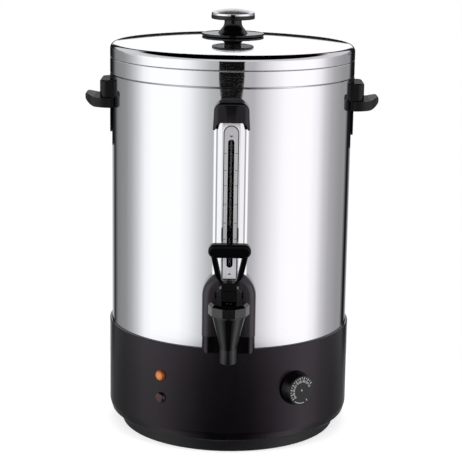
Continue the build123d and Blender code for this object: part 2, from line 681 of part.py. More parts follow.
def bottom_cover():
    """The cover that closes the base, with the foot ring, vents and four bosses for the feet."""
    ring_in_r = FOOT_RING_R - FOOT_RING_WALL
    body = turned((0, COVER_Z), (FOOT_RING_TOP_R - FOOT_RING_WALL, COVER_Z), (ring_in_r, FOOT_RING_LIFT),
                  (FOOT_RING_R, FOOT_RING_LIFT, 1), (FOOT_RING_TOP_R, SKIRT_BOTTOM_Z), (0, SKIRT_BOTTOM_Z))
    for spot in round_spots(FOOT_CIRCLE, STUD_ANGLES, FOOT_T):
        body += spot * rod(FOOT_R + 2, COVER_Z - FOOT_T + OVERLAP)
        body -= spot * Cylinder(FOOT_PLUG_R + THREAD_FIT, 2 * (FOOT_PLUG_L + OVERLAP))
    for spot in round_spots(BOSS_CIRCLE, STUD_ANGLES, COVER_Z):
        body -= spot * Cylinder(BASE_SCREW_R + LIFT_GAP, 4 * COVER_T)
    slot_l = VENT_OUT_R - VENT_IN_R
    slot = extrude(SlotOverall(slot_l, VENT_WIDTH), amount=4 * COVER_T, both=True)
    for index in range(VENT_COUNT):
        turn = (index + 0.5) * 360 / VENT_COUNT
        body -= Rot(0, 0, turn) * Pos(VENT_IN_R + slot_l / 2, 0, COVER_Z) * slot
    return body


def rubber_feet():
    plug_z = FOOT_T + FOOT_PLUG_L
    foot = turned((0, 0), (FOOT_R, 0, 1), (FOOT_R, FOOT_T), (FOOT_PLUG_R, FOOT_T),
                  (FOOT_PLUG_R, plug_z), (0, plug_z))
    return group(spot * foot for spot in round_spots(FOOT_CIRCLE, STUD_ANGLES, 0))


def base_screws():
    screw = pan_screw(BASE_SCREW_R, BASE_SCREW_L, 2 * BASE_SCREW_R, BASE_SCREW_R)
    return group(spot * screw for spot in round_spots(BOSS_CIRCLE, STUD_ANGLES, COVER_Z))


# --- thermostat ------------------------------------------------------------------------------------
def thermostat_body():
    """A capillary thermostat: a square switch with a bushing through the skirt."""
    face = station(DIAL_ANGLE, PAD_FACE, DIAL_Z)
    body = face * Box(THERMOSTAT_SIZE, THERMOSTAT_SIZE, THERMOSTAT_DEPTH, align=HANGING)
    body += face * rod(BUSHING_R, SKIRT_R - PAD_FACE)
    body -= face * Cylinder(SHAFT_R + RUN_FIT, THERMOSTAT_DEPTH + 2 * LIFT_GAP)
    for side in (1, -1):
        screw = face * Pos(0, side * THERMOSTAT_SCREW_SPAN, 0)
        body -= screw * Cylinder(THERMOSTAT_SCREW_R + THREAD_FIT, THERMOSTAT_DEPTH)
    return body


def thermostat_shaft():
    start = PAD_FACE - THERMOSTAT_DEPTH / 2
    length = DIAL_BACK + DIAL_WALL + SHAFT_BITE - start
    body = station(DIAL_ANGLE, start, DIAL_Z) * rod(SHAFT_R, length)
    flat = station(DIAL_ANGLE, DIAL_BACK, DIAL_Z) * Pos(0, SHAFT_R, 0)
    return body - flat * Box(2 * SHAFT_R, SHAFT_R / 2, length, align=UPRIGHT)


def thermostat_screws():
    screw = Rot(180, 0, 0) * pan_screw(THERMOSTAT_SCREW_R, SKIRT_R - PAD_FACE + 6, THERMOSTAT_SCREW_HEAD_R,
                                       THERMOSTAT_SCREW_HEAD_T)
    return group(station(DIAL_ANGLE, SKIRT_R + SHEET / 4, DIAL_Z + side * THERMOSTAT_SCREW_SPAN) * screw
                 for side in (1, -1))


def thermostat_dial():
    """The round dial: a hollow cap with a boss for the shaft."""
    cup = turned((0, 0), (DIAL_BASE_R, 0, 0.6), (DIAL_FACE_R, DIAL_H, 1.2), (0, DIAL_H))
    slope = (DIAL_BASE_R - DIAL_FACE_R) / DIAL_H
    room_h = DIAL_H - DIAL_WALL
    room_r = DIAL_BASE_R - DIAL_WALL
    cup -= turned((0, 0), (room_r, 0), (room_r - slope * room_h, room_h), (0, room_h))
    cup += Pos(0, 0, DIAL_WALL) * rod(SHAFT_R + DIAL_WALL, DIAL_H - DIAL_WALL - OVERLAP)
    bore = rod(SHAFT_R + THREAD_FIT, DIAL_WALL + SHAFT_BITE + THREAD_FIT)
    cup -= bore - Pos(0, SHAFT_R + THREAD_FIT, 0) * Box(2 * SHAFT_R, SHAFT_R / 2, DIAL_H, align=UPRIGHT)
    return station(DIAL_ANGLE, DIAL_BACK, DIAL_Z) * cup


def bulb_place():
    """The bulb lies flat under the tank, along the circle of its clip."""
    turn = radians(BULB_ANGLE)
    centre = Vector(BULB_CIRCLE * sin(turn), -BULB_CIRCLE * cos(turn), TANK_BOTTOM_Z - CLIP_H / 2)
    return centre, Vector(cos(turn), sin(turn), 0)


def thermostat_bulb():
    """The sensing bulb with its capillary, which runs back to the thermostat's rear face."""
    centre, along = bulb_place()
    bulb = Plane(origin=centre - along * (BULB_L / 2), z_dir=along) * rod(BULB_R, BULB_L)
    tail = centre - along * (BULB_L / 2)
    rear = station(DIAL_ANGLE, PAD_FACE - THERMOSTAT_DEPTH, DIAL_Z)
    port = spot_on(rear, 6, 8)
    near = spot_on(rear, 6, 8, -14)
    out = tail - along * 16
    route = [tail, out, Vector(near.X, near.Y, out.Z - 14), near, port]
    return bulb + tube_along(route, CAPILLARY_R, [7, 7, 7])


def bulb_clip():
    centre, along = bulb_place()
    place = Plane(origin=(centre.X, centre.Y, TANK_BOTTOM_Z), x_dir=along, z_dir=(0, 0, 1))
    body = place * Box(CLIP_L, CLIP_W, CLIP_H, align=HANGING)
    return body - Plane(origin=centre, z_dir=along) * Cylinder(BULB_R + THREAD_FIT, BULB_L)


# --- lamps -----------------------------------------------------------------------------------------
def lamp_lens(z):
    """A domed lens with a flange on the skirt and a stub in the lamp's barrel."""
    stub_r = LAMP_R - LAMP_WALL - THREAD_FIT
    stub_z = -LENS_STUB - SKIRT_WALL
    top_z = LENS_FLANGE_T + LENS_DOME
    lens = turned((0, stub_z), (stub_r, stub_z), (stub_r, THREAD_FIT), (LENS_R, THREAD_FIT),
                  (LENS_R, LENS_FLANGE_T, 0.5), (LENS_R - LAMP_WALL, top_z, 2.6), (0, top_z))
    return station(LAMP_ANGLE, SKIRT_R, z) * lens


def lamp_bodies():
    """Two neon lamp barrels pushed into the skirt, each with two terminal tabs."""
    barrel = ring(LAMP_R, LAMP_R - LAMP_WALL, LAMP_L, HANGING)
    barrel += Pos(0, 0, -LAMP_L) * rod(LAMP_R, 2 * LAMP_WALL)
    tab = Box(SHEET, 3, 6 + OVERLAP, align=HANGING)
    for side in (1, -1):
        barrel += Pos(side * LAMP_R / 2, 0, -LAMP_L + OVERLAP) * tab
    return group(station(LAMP_ANGLE, SKIRT_R, z) * barrel for z in (WARM_LAMP_Z, HEAT_LAMP_Z))


# --- thermal cut-out -------------------------------------------------------------------------------
def thermal_cutout():
    """The boil-dry cut-out, whose nose comes through the back of the skirt."""
    face = station(CUTOUT_ANGLE, PAD_FACE, CUTOUT_Z)
    body = face * rod(CUTOUT_R, CUTOUT_L, HANGING)
    body += face * rod(CUTOUT_NOSE_R, SKIRT_R + CUTOUT_NOSE_PROUD - PAD_FACE)
    mouth = station(CUTOUT_ANGLE, SKIRT_R + CUTOUT_NOSE_PROUD, CUTOUT_Z)
    bore_l = BUTTON_L - BUTTON_PROUD + BUTTON_TRAVEL + 2 * LIFT_GAP
    return body - mouth * rod(BUTTON_R + RUN_FIT, bore_l, HANGING)


def reset_button():
    tip = SKIRT_R + CUTOUT_NOSE_PROUD + BUTTON_PROUD
    button = turned((0, -BUTTON_L), (BUTTON_R, -BUTTON_L), (BUTTON_R, 0, 0.6), (0, 0))
    return station(CUTOUT_ANGLE, tip, CUTOUT_Z) * button


# --- power inlet -----------------------------------------------------------------------------------
def power_inlet():
    """A flanged three-pin appliance inlet, open to the rear."""
    body = extrude(RectangleRounded(INLET_FLANGE_W, INLET_FLANGE_H, 4), amount=INLET_FLANGE_T)
    body += Box(INLET_W, INLET_H, INLET_L, align=HANGING)
    half_w = SOCKET_W / 2
    half_h = SOCKET_H / 2
    socket = two_sided((half_w, -half_h, 1), (half_w, half_h - SOCKET_CHAMFER),
                       (half_w - SOCKET_CHAMFER, half_h))
    body -= Pos(0, 0, INLET_FLANGE_T - SOCKET_DEPTH) * extrude(socket, amount=SOCKET_DEPTH)
    for x, y in pin_spots():
        body -= Pos(x, y, 0) * Box(PIN_W + 2 * THREAD_FIT, PIN_H + 2 * THREAD_FIT, FAR / 4)
    for side in (1, -1):
        body -= Pos(side * INLET_SCREW_SPAN, 0, 0) * Cylinder(INLET_SCREW_R + LIFT_GAP, 3 * INLET_FLANGE_T)
    return station(180, PANEL_FACE, INLET_Z) * body


def pin_spots():
    return [(-PIN_SPREAD, -LIVE_PIN_DROP), (PIN_SPREAD, -LIVE_PIN_DROP), (0, EARTH_PIN_RISE)]


def inlet_pins():
    length = INLET_L + PIN_TAIL + INLET_FLANGE_T - PIN_RECESS
    pin = Box(PIN_W, PIN_H, length, align=HANGING)
    face = station(180, PANEL_FACE, INLET_Z)
    return group(face * Pos(x, y, INLET_FLANGE_T - PIN_RECESS) * pin for x, y in pin_spots())


def inlet_screws():
    screw = Rot(180, 0, 0) * pan_screw(INLET_SCREW_R, INLET_SCREW_L, INLET_SCREW_HEAD_R, INLET_SCREW_HEAD_T)
    face = station(180, PANEL_FACE + INLET_FLANGE_T, INLET_Z)
    return group(face * Pos(side * INLET_SCREW_SPAN, 0, 0) * screw for side in (1, -1))


# --- terminal block and wiring ---------------------------------------------------------------------
def terminal_block():
    body = Pos(0, BLOCK_Y, BLOCK_Z) * Box(BLOCK_W, BLOCK_D, BLOCK_H, align=UPRIGHT)
    for index in range(4):
        x = (index - 1.5) * BLOCK_W / 4
        body -= Pos(x, BLOCK_Y, BLOCK_Z + BLOCK_H) * Cylinder(3.0, BLOCK_H)
    return body


def wiring_loom():
    """The wires inside the base, each from one terminal to another."""
    pin_y = PANEL_FACE - INLET_L - PIN_TAIL
    block_back = BLOCK_Y + BLOCK_D / 2
    block_front = BLOCK_Y - BLOCK_D / 2
    lift_z = BLOCK_Z + BLOCK_H / 2
    wires = []
    for (x, y), slot in zip(pin_spots(), (1.0, -1.0, 0.0)):
        start = Vector(-x, pin_y, INLET_Z + y)
        target = Vector(slot * BLOCK_W / 4, block_back, lift_z)
        knee = Vector(start.X, start.Y - 14, start.Z)
        low = Vector(target.X, target.Y + WIRE_STANDOFF, target.Z)
        wires.append(tube_along([start, knee, low, target], WIRE_R, [7, 7]))
    (foot_a, _, _), (foot_b, _, _) = element_feet()
    pin_z = TANK_BOTTOM_Z - BUSH_L - ELEMENT_PIN_L
    for foot, x in ((foot_a, 1.5), (foot_b, -1.5)):
        side = 1 if x > 0 else -1
        start = Vector(foot.X, foot.Y, pin_z)
        target = Vector(x * BLOCK_W / 4, BLOCK_Y, BLOCK_Z + BLOCK_H)
        over = Vector(target.X + side * 4, target.Y + 4, target.Z + WIRE_STANDOFF)
        wires.append(tube_along([start, start - Vector(0, 0, 20), over, target], WIRE_R, [8, 7]))
    rear = station(DIAL_ANGLE, PAD_FACE - THERMOSTAT_DEPTH, DIAL_Z)
    for x, slot in ((-6, -0.4), (0, 0.4)):
        start = spot_on(rear, x, -9)
        knee = spot_on(rear, x, -9, -16)
        target = Vector(slot * BLOCK_W / 4 + BLOCK_W / 4, block_front, lift_z)
        low = target - Vector(0, 20, 0)
        wires.append(tube_along([start, knee, low, target], WIRE_R, [8, 8]))
    for z, slot in ((WARM_LAMP_Z, -1.5), (HEAT_LAMP_Z, -0.6)):
        start = station(LAMP_ANGLE, SKIRT_R - LAMP_L - 6, z).origin
        knee = station(LAMP_ANGLE, SKIRT_R - LAMP_L - WIRE_STANDOFF, z).origin
        target = Vector(slot * BLOCK_W / 4, block_front, lift_z)
        low = target - Vector(0, 20, 0)
        wires.append(tube_along([start, knee, low, target], WIRE_R, [8, 8]))
    return group(wires)


# --- handles ---------------------------------------------------------------------------------------
def handle_plate(side):
    """The thin plate behind a handle, which wraps the tank and narrows towards its foot."""
    top = PLATE_TOP_Z - HANDLE_Z
    foot = top - PLATE_H
    shape = two_sided((PLATE_HALF_W, top, 5), (PLATE_HALF_W, 0, 12), (PLATE_TIP_R, foot, PLATE_TIP_R - 1))
    slab = station(side * 90, 0, HANDLE_Z) * extrude(shape, amount=FAR)
    shell = Pos(0, 0, HANDLE_Z + foot) * ring(TANK_R + PLATE_T, TANK_R + WRAP_GAP, PLATE_H)
    return slab & shell


def handle(side):
    """A moulded side handle: a block on a plate, with a scooped ear to lift by."""
    plan = two_sided((HANDLE_HALF_W, -TANK_CORNER), (HANDLE_HALF_W, HANDLE_OUT, HANDLE_CORNER))
    block = extrude(plan, amount=HANDLE_H)
    top_edges = block.faces().sort_by(Axis.Z)[-1].edges()
    block = fillet(top_edges.filter_by(lambda e: e.center().Y > 0), HANDLE_EDGE)
    profile = outline((0, 0), (0.7 * EAR_OUT, 0.8, 14), (EAR_OUT + 0.3, EAR_LIP_RISE - 7, 5),
                      (EAR_OUT - 1.2, EAR_LIP_RISE, 2), (HANDLE_OUT + 6, EAR_FLOOR_RISE, 8),
                      (0, EAR_FLOOR_RISE - 0.5))
    ear = Plane.YZ * extrude(profile, amount=EAR_HALF_W, both=True)
    lobe = extrude(Ellipse(EAR_HALF_W, EAR_OUT - EAR_ROOT), amount=EAR_LIP_RISE + OVERLAP)
    lobe = Pos(0, EAR_ROOT, 0) * lobe
    body = block + (ear & lobe)
    place = Plane(origin=(side * TANK_R, 0, HANDLE_Z), x_dir=(0, -side, 0), z_dir=(0, 0, 1))
    body = place * body + handle_plate(side)
    body -= tank_core(TANK_R + WRAP_GAP)
    for spot in handle_screw_stations(side, TANK_R):
        body -= spot * Cylinder(HANDLE_SCREW_R + THREAD_FIT, 2 * (HANDLE_SCREW_BITE + OVERLAP))
    return body


def handle_screws():
    """Four screws from inside the tank into the handles."""
    length = SHEET + WASHER_T + HANDLE_SCREW_BITE
    screw = pan_screw(HANDLE_SCREW_R, length, SCREW_HEAD_R, SCREW_HEAD_T)
    seat = TANK_IN_R - WRAP_GAP - WASHER_T
    return group(spot * screw for side in (1, -1) for spot in handle_screw_stations(side, seat))


def handle_washers():
    washer = ring(WASHER_R, HANDLE_SCREW_R + THREAD_FIT, WASHER_T, HANGING)
    seat = TANK_IN_R - WRAP_GAP
    return group(spot * washer for side in (1, -1) for spot in handle_screw_stations(side, seat))


# --- lid -------------------------------------------------------------------------------------------
def dome_height(radius, edge_r, seat_r, rise):
    """Height of a dome over its edge; the dome rises by rise from edge_r in to seat_r."""
    below = (edge_r ** 2 - seat_r ** 2 - rise ** 2) / (2 * rise)
    return sqrt(edge_r ** 2 + below ** 2 - radius ** 2) - below


def lid_form(inset):
    """The solid under the lid's outside, moved in by a wall thickness."""
    edge_r = RIM_R - LID_EDGE
    wall_r = RIM_R - inset
    skirt_z = LID_CROWN_Z - LID_EDGE
    crown_z = LID_CROWN_Z - inset
    seat_z = LID_TOP_Z - inset
    middle_r = (edge_r + LID_SEAT_R) / 2
    middle_z = crown_z + dome_height(middle_r, edge_r, LID_SEAT_R, LID_RISE)
    turn = (LID_EDGE - inset) * cos(radians(45))
    edges = [Line((0, LID_Z), (wall_r, LID_Z)), Line((wall_r, LID_Z), (wall_r, skirt_z)),
             ThreePointArc((wall_r, skirt_z), (edge_r + turn, skirt_z + turn), (edge_r, crown_z)),
             ThreePointArc((edge_r, crown_z), (middle_r, middle_z), (LID_SEAT_R, seat_z)),
             Line((LID_SEAT_R, seat_z), (0, seat_z)), Line((0, seat_z), (0, LID_Z))]
    return revolve(Plane.XZ * make_face(edges), axis=Axis.Z)


def lid_shell():
    body = lid_form(0) - lid_form(SHEET)
    body += Pos(0, 0, LID_Z) * ring(RIM_R - SHEET / 2, MOUTH_R, HEM)
    foot = body.edges().filter_by(GeomType.CIRCLE).filter_by(
        lambda e: abs(e.radius - RIM_R) < 0.01 and e.center().Z < LID_Z + 0.01)
    body = fillet(foot, HEM_EDGE)
    return body - Pos(0, 0, LID_TOP_Z) * Cylinder(LID_HOLE_R, 8 * SHEET)


def lid_locating_ring():
    """The inner ring that drops into the tank's mouth, hung from the lid's hem."""
    out_r = MOUTH_R - RING_GAP
    flange_r = RIM_R - SHEET - WRAP_GAP
    hem_z = LID_Z + HEM
    foot_z = TANK_RIM_Z - RING_DEPTH
    return turned((out_r, foot_z), (out_r, hem_z), (flange_r, hem_z), (flange_r, hem_z + SHEET),
                  (out_r - SHEET, hem_z + SHEET, SHEET), (out_r - SHEET, foot_z))


def lid_knob_flange():
    """The flat round shield under the knob, with a low raised lip."""
    lip_z = STEM_Z + SHIELD_LIP
    return turned((LID_HOLE_R, LID_TOP_Z), (LID_SEAT_R, LID_TOP_Z), (SHIELD_R - 1, LID_TOP_Z - SHIELD_FALL),
                  (SHIELD_R, LID_TOP_Z + 0.3, 0.4), (SHIELD_R, lip_z, 0.3), (SHIELD_R - 1.6, lip_z, 0.3),
                  (SHIELD_R - 2.6, STEM_Z, 0.4), (LID_HOLE_R, STEM_Z))


def lid_knob():
    """Stem and grip of the knob, with a shallow socket on top for the polished cap."""
    socket_z = GRIP_TOP_Z - KNOB_CAP_SPIGOT_L
    socket_r = KNOB_CAP_SPIGOT_R + THREAD_FIT
    flare = Spline((STEM_FOOT_R, STEM_Z), (STEM_FOOT_R - 2.4, STEM_Z + 3.4),
                   (STEM_R + 1.2, STEM_Z + STEM_H / 2), (STEM_R, GRIP_Z - 1), tangents=[(-1, 1), (0, 1)])
    grip = FilletPolyline((STEM_R, GRIP_Z - 1), (STEM_R, GRIP_Z), (GRIP_R, GRIP_Z), (GRIP_R, GRIP_TOP_Z),
                          (socket_r, GRIP_TOP_Z), (socket_r, socket_z), (0, socket_z),
                          radius=[0.8, 1.2, 0.4, 0, 0])
    edges = [flare, grip, Line((0, socket_z), (0, STEM_Z)), Line((0, STEM_Z), (STEM_FOOT_R, STEM_Z))]
    body = revolve(Plane.XZ * make_face(edges), axis=Axis.Z)
    return body - Pos(0, 0, STEM_Z) * rod(KNOB_SCREW_R + THREAD_FIT, KNOB_SCREW_GRIP + OVERLAP)


def lid_knob_cap():
    """The polished metal cap pressed onto the knob's grip."""
    radius = GRIP_R - KNOB_CAP_SET_IN
    band_z = GRIP_TOP_Z + KNOB_CAP_BAND / 2
    edge_r = radius - KNOB_CAP_BAND / 2
    edge_z = GRIP_TOP_Z + KNOB_CAP_BAND
    turn = KNOB_CAP_BAND / 2 * cos(radians(45))
    top_z = edge_z + KNOB_CAP_DOME
    middle_z = edge_z + dome_height(edge_r / 2, edge_r, 0, KNOB_CAP_DOME)
    edges = [Line((0, GRIP_TOP_Z), (radius, GRIP_TOP_Z)), Line((radius, GRIP_TOP_Z), (radius, band_z)),
             ThreePointArc((radius, band_z), (edge_r + turn, band_z + turn), (edge_r, edge_z)),
             ThreePointArc((edge_r, edge_z), (edge_r / 2, middle_z), (0, top_z)),
             Line((0, top_z), (0, GRIP_TOP_Z))]
    body = revolve(Plane.XZ * make_face(edges), axis=Axis.Z)
    return body + Pos(0, 0, GRIP_TOP_Z) * rod(KNOB_CAP_SPIGOT_R, KNOB_CAP_SPIGOT_L, HANGING)


def lid_knob_washer():
    washer = ring(KNOB_WASHER_R, KNOB_SCREW_R + THREAD_FIT, KNOB_WASHER_T, HANGING)
    return Pos(0, 0, LID_TOP_Z - SHEET) * washer


def lid_knob_screw():
    length = KNOB_WASHER_T + SHEET + SHIELD_T + KNOB_SCREW_GRIP
    screw = pan_screw(KNOB_SCREW_R, length, SCREW_HEAD_R, SCREW_HEAD_T)
    return Pos(0, 0, LID_TOP_Z - SHEET - KNOB_WASHER_T) * screw


# --- water gauge -----------------------------------------------------------------------------------
def channel_face(inset, clearance=0.0):
    """Plan of the gauge cover's outside, moved in by a wall or out by a clearance."""
    front = GAUGE_Y + inset - clearance
    shoulder = front + SHOULDER_DROP
    aside = clearance - inset
    side = GAUGE_HALF_W + aside
    return two_sided((FLAT_HALF_W, front, 3), (RAIL_HALF_W + aside, front + RAIL_FALL, 0.9),
                     (RAIL_FOOT_W + aside, shoulder - 0.4, 0.5), (side, shoulder + SHOULDER_FALL, 1.6),
                     (side, 2 * GAUGE_HALF_W - TANK_R))


def scale_face(half_w, bottom, top):
    """Front view of the graduated plate: straight sides and a round head."""
    return two_sided((half_w, bottom), (half_w, top, half_w - 0.02))


def slot_face():
    end_r = SLOT_HALF_W - 0.02
    return two_sided((SLOT_HALF_W, SLOT_BOTTOM_Z, end_r), (SLOT_HALF_W, SLOT_TOP_Z, end_r))


def front_prism(face, y_front, depth):
    """Extrude a front view back from the plane y = y_front."""
    return Pos(0, y_front + depth, 0) * extrude(Plane.XZ * face, amount=depth)


def gauge_cover():
    """The polished channel over the gauge glass, with a slot and a bed for the scale."""
    height = COVER_TOP_Z - COVER_BOTTOM_Z
    body = extrude(channel_face(0) - channel_face(GAUGE_SHEET), amount=height)
    bed_w = FLAT_HALF_W + 0.4
    bed_back = two_sided((bed_w, GAUGE_Y + GAUGE_SHEET / 2), (bed_w, GAUGE_Y + 2 * GAUGE_SHEET))
    body += extrude(bed_back, amount=height)
    body = Pos(0, 0, COVER_BOTTOM_Z) * body
    bed = scale_face(SCALE_HALF_W + SCALE_FIT, COVER_BOTTOM_Z - OVERLAP, SCALE_TOP_Z + SCALE_FIT)
    body -= front_prism(bed, GAUGE_Y - OVERLAP, OVERLAP + SCALE_T)
    body -= front_prism(slot_face(), GAUGE_Y - OVERLAP, 8 * GAUGE_SHEET)
    return body - tank_core(TANK_R + WRAP_GAP)


def gauge_plate():
    plate = front_prism(scale_face(SCALE_HALF_W, SCALE_BOTTOM_Z, SCALE_TOP_Z), GAUGE_Y, SCALE_T)
    return plate - front_prism(slot_face(), GAUGE_Y - OVERLAP, 8 * GAUGE_SHEET)


def gauge_liner():
    """The black trough behind the glass."""
    front = GAUGE_Y + 2 * GAUGE_SHEET
    back = GLASS_Y + GLASS_R + LIFT_GAP + LINER_T
    outer = two_sided((LINER_HALF_W, front), (LINER_HALF_W, back, 2))
    inner_w = LINER_HALF_W - LINER_T
    inner = two_sided((inner_w, front - OVERLAP), (inner_w, back - LINER_T, 1.5))
    bottom = TEE_TOP_Z + SEAL_H
    return Pos(0, 0, bottom) * extrude(outer - inner, amount=CAP_SOLID_Z - LIFT_GAP - bottom)


def gauge_glass():
    tube = ring(GLASS_R, GLASS_R - GLASS_WALL, GLASS_TOP_Z - GLASS_BOTTOM_Z)
    return Pos(0, GLASS_Y, GLASS_BOTTOM_Z) * tube


def gauge_seals():
    seal = ring(SEAL_R, GLASS_R + THREAD_FIT, SEAL_H)
    return group((Pos(0, GLASS_Y, TEE_TOP_Z - SEAL_H) * seal, Pos(0, GLASS_Y, CAP_SOLID_Z) * seal))


def gauge_top_cap():
    """The black cap that holds the glass and the top of its cover."""
    top = TANK_RIM_Z - CAP_DROP
    bottom = TANK_RIM_Z - CAP_SKIRT_DROP
    front = -(TANK_R + CAP_OUT)
    shape = two_sided((CAP_HALF_W + CAP_FLARE, bottom), (CAP_HALF_W, bottom + 14, 14),
                      (CAP_HALF_W - 0.4, top - 1.5, CAP_CORNER))
    body = front_prism(shape, front, CAP_OUT + 20)
    plan = two_sided((GAUGE_HALF_W + 2, front, CAP_FRONT_R), (GAUGE_HALF_W + 2, -TANK_R + 20))
    body &= Pos(0, 0, bottom) * extrude(plan, amount=top - bottom)
    front_edges = body.faces().filter_by(Axis.Y).sort_by(Axis.Y)[0].edges()
    body = fillet(front_edges.filter_by(lambda e: e.center().Z > top - CAP_CORNER), CAP_EDGE)
    arch_top = TANK_RIM_Z - CAP_ARCH_DROP
    arch = two_sided((CAP_ARCH_HALF_W + 2, bottom - OVERLAP), (CAP_ARCH_HALF_W, arch_top, 5))
    body -= front_prism(arch, front - OVERLAP, CAP_OUT)
    room = extrude(channel_face(0, SCALE_FIT), amount=CAP_SOLID_Z - bottom + OVERLAP)
    body -= Pos(0, 0, bottom - OVERLAP) * room
    body -= tank_core(TANK_R + WRAP_GAP)
    body -= Pos(0, GLASS_Y, CAP_SOLID_Z) * Cylinder(SEAL_R + THREAD_FIT, 2 * SEAL_H)
    body -= Pos(0, GLASS_Y, CAP_SOLID_Z) * rod(GLASS_R + THREAD_FIT, GLASS_TOP_Z - CAP_SOLID_Z + THREAD_FIT)
    return body - cap_screw_place(TANK_R) * Cylinder(CAP_SCREW_R + THREAD_FIT, 2 * GLASS_OUT - 2)


def cap_screw_place(distance):
    return station(0, distance, TANK_RIM_Z - CAP_SCREW_DROP)


def gauge_cap_screw():
    length = SHEET + GLASS_OUT - 2
    screw = pan_screw(CAP_SCREW_R, length, SCREW_HEAD_R, SCREW_HEAD_T)
    return cap_screw_place(TANK_IN_R - WRAP_GAP) * screw


# --- tap shroud and shank --------------------------------------------------------------------------
def shroud_form(inset, band_in, y_front):
    """The shroud's outside, moved in by a wall; its foot band is set back a little."""
    half_w = SHROUD_HALF_W - inset
    top = SHANK_Z + SHROUD_TOP_RISE - inset
    bottom = SHROUD_BOTTOM_Z + inset
    band_z = SHROUD_BOTTOM_Z + SHROUD_BAND
    depth = SHROUD_OUT + 20
    upper = front_prism(two_sided((half_w, band_z), (half_w, top, half_w - 0.05)), y_front, depth)
    front_edges = upper.faces().filter_by(Axis.Y).sort_by(Axis.Y)[0].edges()
    upper = fillet(front_edges.filter_by(lambda e: e.center().Z > band_z + OVERLAP), SHROUD_EDGE - inset)
    foot_w = half_w - band_in
    foot = two_sided((foot_w - SHROUD_CHAMFER, bottom), (foot_w, bottom + SHROUD_CHAMFER),
                     (foot_w, band_z + OVERLAP))
    lower = front_prism(foot, y_front + band_in, depth - band_in)
    sides = lower.edges().filter_by(Axis.Z).filter_by(lambda e: e.center().Y < y_front + depth / 2)
    return upper + fillet(sides, SHROUD_EDGE - inset - band_in)


def tap_shroud():
    """The arched cover over the tap's shank and the gauge's foot."""
    body = shroud_form(0, SHROUD_BAND_IN, SHROUD_Y)
    body -= shroud_form(SHROUD_WALL, SHROUD_BAND_IN, SHROUD_Y + SHROUD_WALL)
    body -= tank_core(TANK_R + WRAP_GAP)
    body -= station(0, -SHROUD_Y, SHANK_Z) * Cylinder(SHANK_R + LIFT_GAP, 4 * SHROUD_WALL)
    gate = two_sided((SHROUD_GATE_HALF_W, SHANK_Z + SHROUD_GATE_RISE, 3), (SHROUD_GATE_HALF_W, COVER_TOP_Z))
    body -= front_prism(gate, SHROUD_Y - OVERLAP, 2 * SHROUD_WALL)
    notch_z = COVER_BOTTOM_Z - LIFT_GAP
    return body - Pos(0, 0, notch_z) * extrude(channel_face(0, SCALE_FIT), amount=SHROUD_TOP_RISE)


def shank_plane(y):
    """A plane across the shank's axis, with its Z towards the front."""
    return station(0, -y, SHANK_Z)


def tap_shank():
    """The threaded tube through the tank's wall, with a tee that feeds the gauge glass."""
    back = -(TANK_R - SHEET - SHANK_INSIDE)
    shoulder = -(TANK_R + TAP_GASKET_T)
    front = SHROUD_Y - SHANK_BITE
    tee_front = SHROUD_Y + SHROUD_WALL
    body = shank_plane(back) * rod(SHANK_R, back - front)
    body += shank_plane(shoulder) * rod(TEE_R, shoulder - tee_front)
    body += Pos(0, GLASS_Y, SHANK_Z) * rod(TEE_BOSS_R, TEE_TOP_Z - SHANK_Z)
    body -= shank_plane(back) * Cylinder(SHANK_BORE, FAR)
    body -= Pos(0, GLASS_Y, SHANK_Z) * rod(GLASS_R - GLASS_WALL, TEE_TOP_Z - SHANK_Z)
    body -= Pos(0, GLASS_Y, GLASS_BOTTOM_Z) * rod(GLASS_R + THREAD_FIT, TEE_TOP_Z - GLASS_BOTTOM_Z)
    return body - Pos(0, GLASS_Y, TEE_TOP_Z) * rod(SEAL_R + THREAD_FIT, SEAL_H, HANGING)


def tap_gaskets():
    """Rubber rings on both sides of the tank's wall."""
    blank = ring(TAP_GASKET_R, SHANK_R + THREAD_FIT, 2 * TAP_GASKET_T)
    outer = shank_plane(TAP_GASKET_T - TANK_R) * blank
    inner = shank_plane(TAP_GASKET_T - TANK_IN_R) * blank
    return group((outer - tank_core(TANK_R), inner & tank_core(TANK_IN_R)))


def tap_lock_nut():
    nut = hex_nut(LOCK_NUT_R, SHANK_R + THREAD_FIT, LOCK_NUT_T)
    return shank_plane(-(TANK_IN_R - TAP_GASKET_T - LOCK_NUT_T)) * nut


# --- tap -------------------------------------------------------------------------------------------
def tap_body():
    """The funnel-shaped tap body with its neck, valve seat and spout."""
    cone_z = NOZZLE_Z + NOZZLE_L
    top_z = BOWL_Z + BOWL_THREAD_H
    body = turned((0, NOZZLE_Z), (NOZZLE_R, NOZZLE_Z, 0.8), (NOZZLE_R, cone_z, 12),
                  (BOWL_R, BOWL_Z - 1.5, 1), (BOWL_R, BOWL_Z, 0.4), (BOWL_THREAD_R, BOWL_Z),
                  (BOWL_THREAD_R, top_z), (0, top_z))
    body = Pos(0, TAP_Y, 0) * body
    body += shank_plane(SHROUD_Y) * rod(NECK_R, SHROUD_Y - TAP_Y)
    body += shank_plane(SHROUD_Y) * rod(NECK_FLANGE_R, NECK_FLANGE_T)
    inside = turned((0, NOZZLE_Z), (NOZZLE_BORE, NOZZLE_Z), (NOZZLE_BORE, SEAT_Z - SEAT_CONE),
                    (SEAT_R, SEAT_Z), (BOWL_IN_R, BOWL_Z), (BOWL_IN_R, top_z), (0, top_z))
    body -= Pos(0, TAP_Y, 0) * inside
    body -= shank_plane(SHROUD_Y) * rod(SHANK_R + THREAD_FIT, SHANK_BITE + THREAD_FIT)
    return body - shank_plane(SHROUD_Y) * rod(SHANK_BORE, SHROUD_Y - TAP_Y)


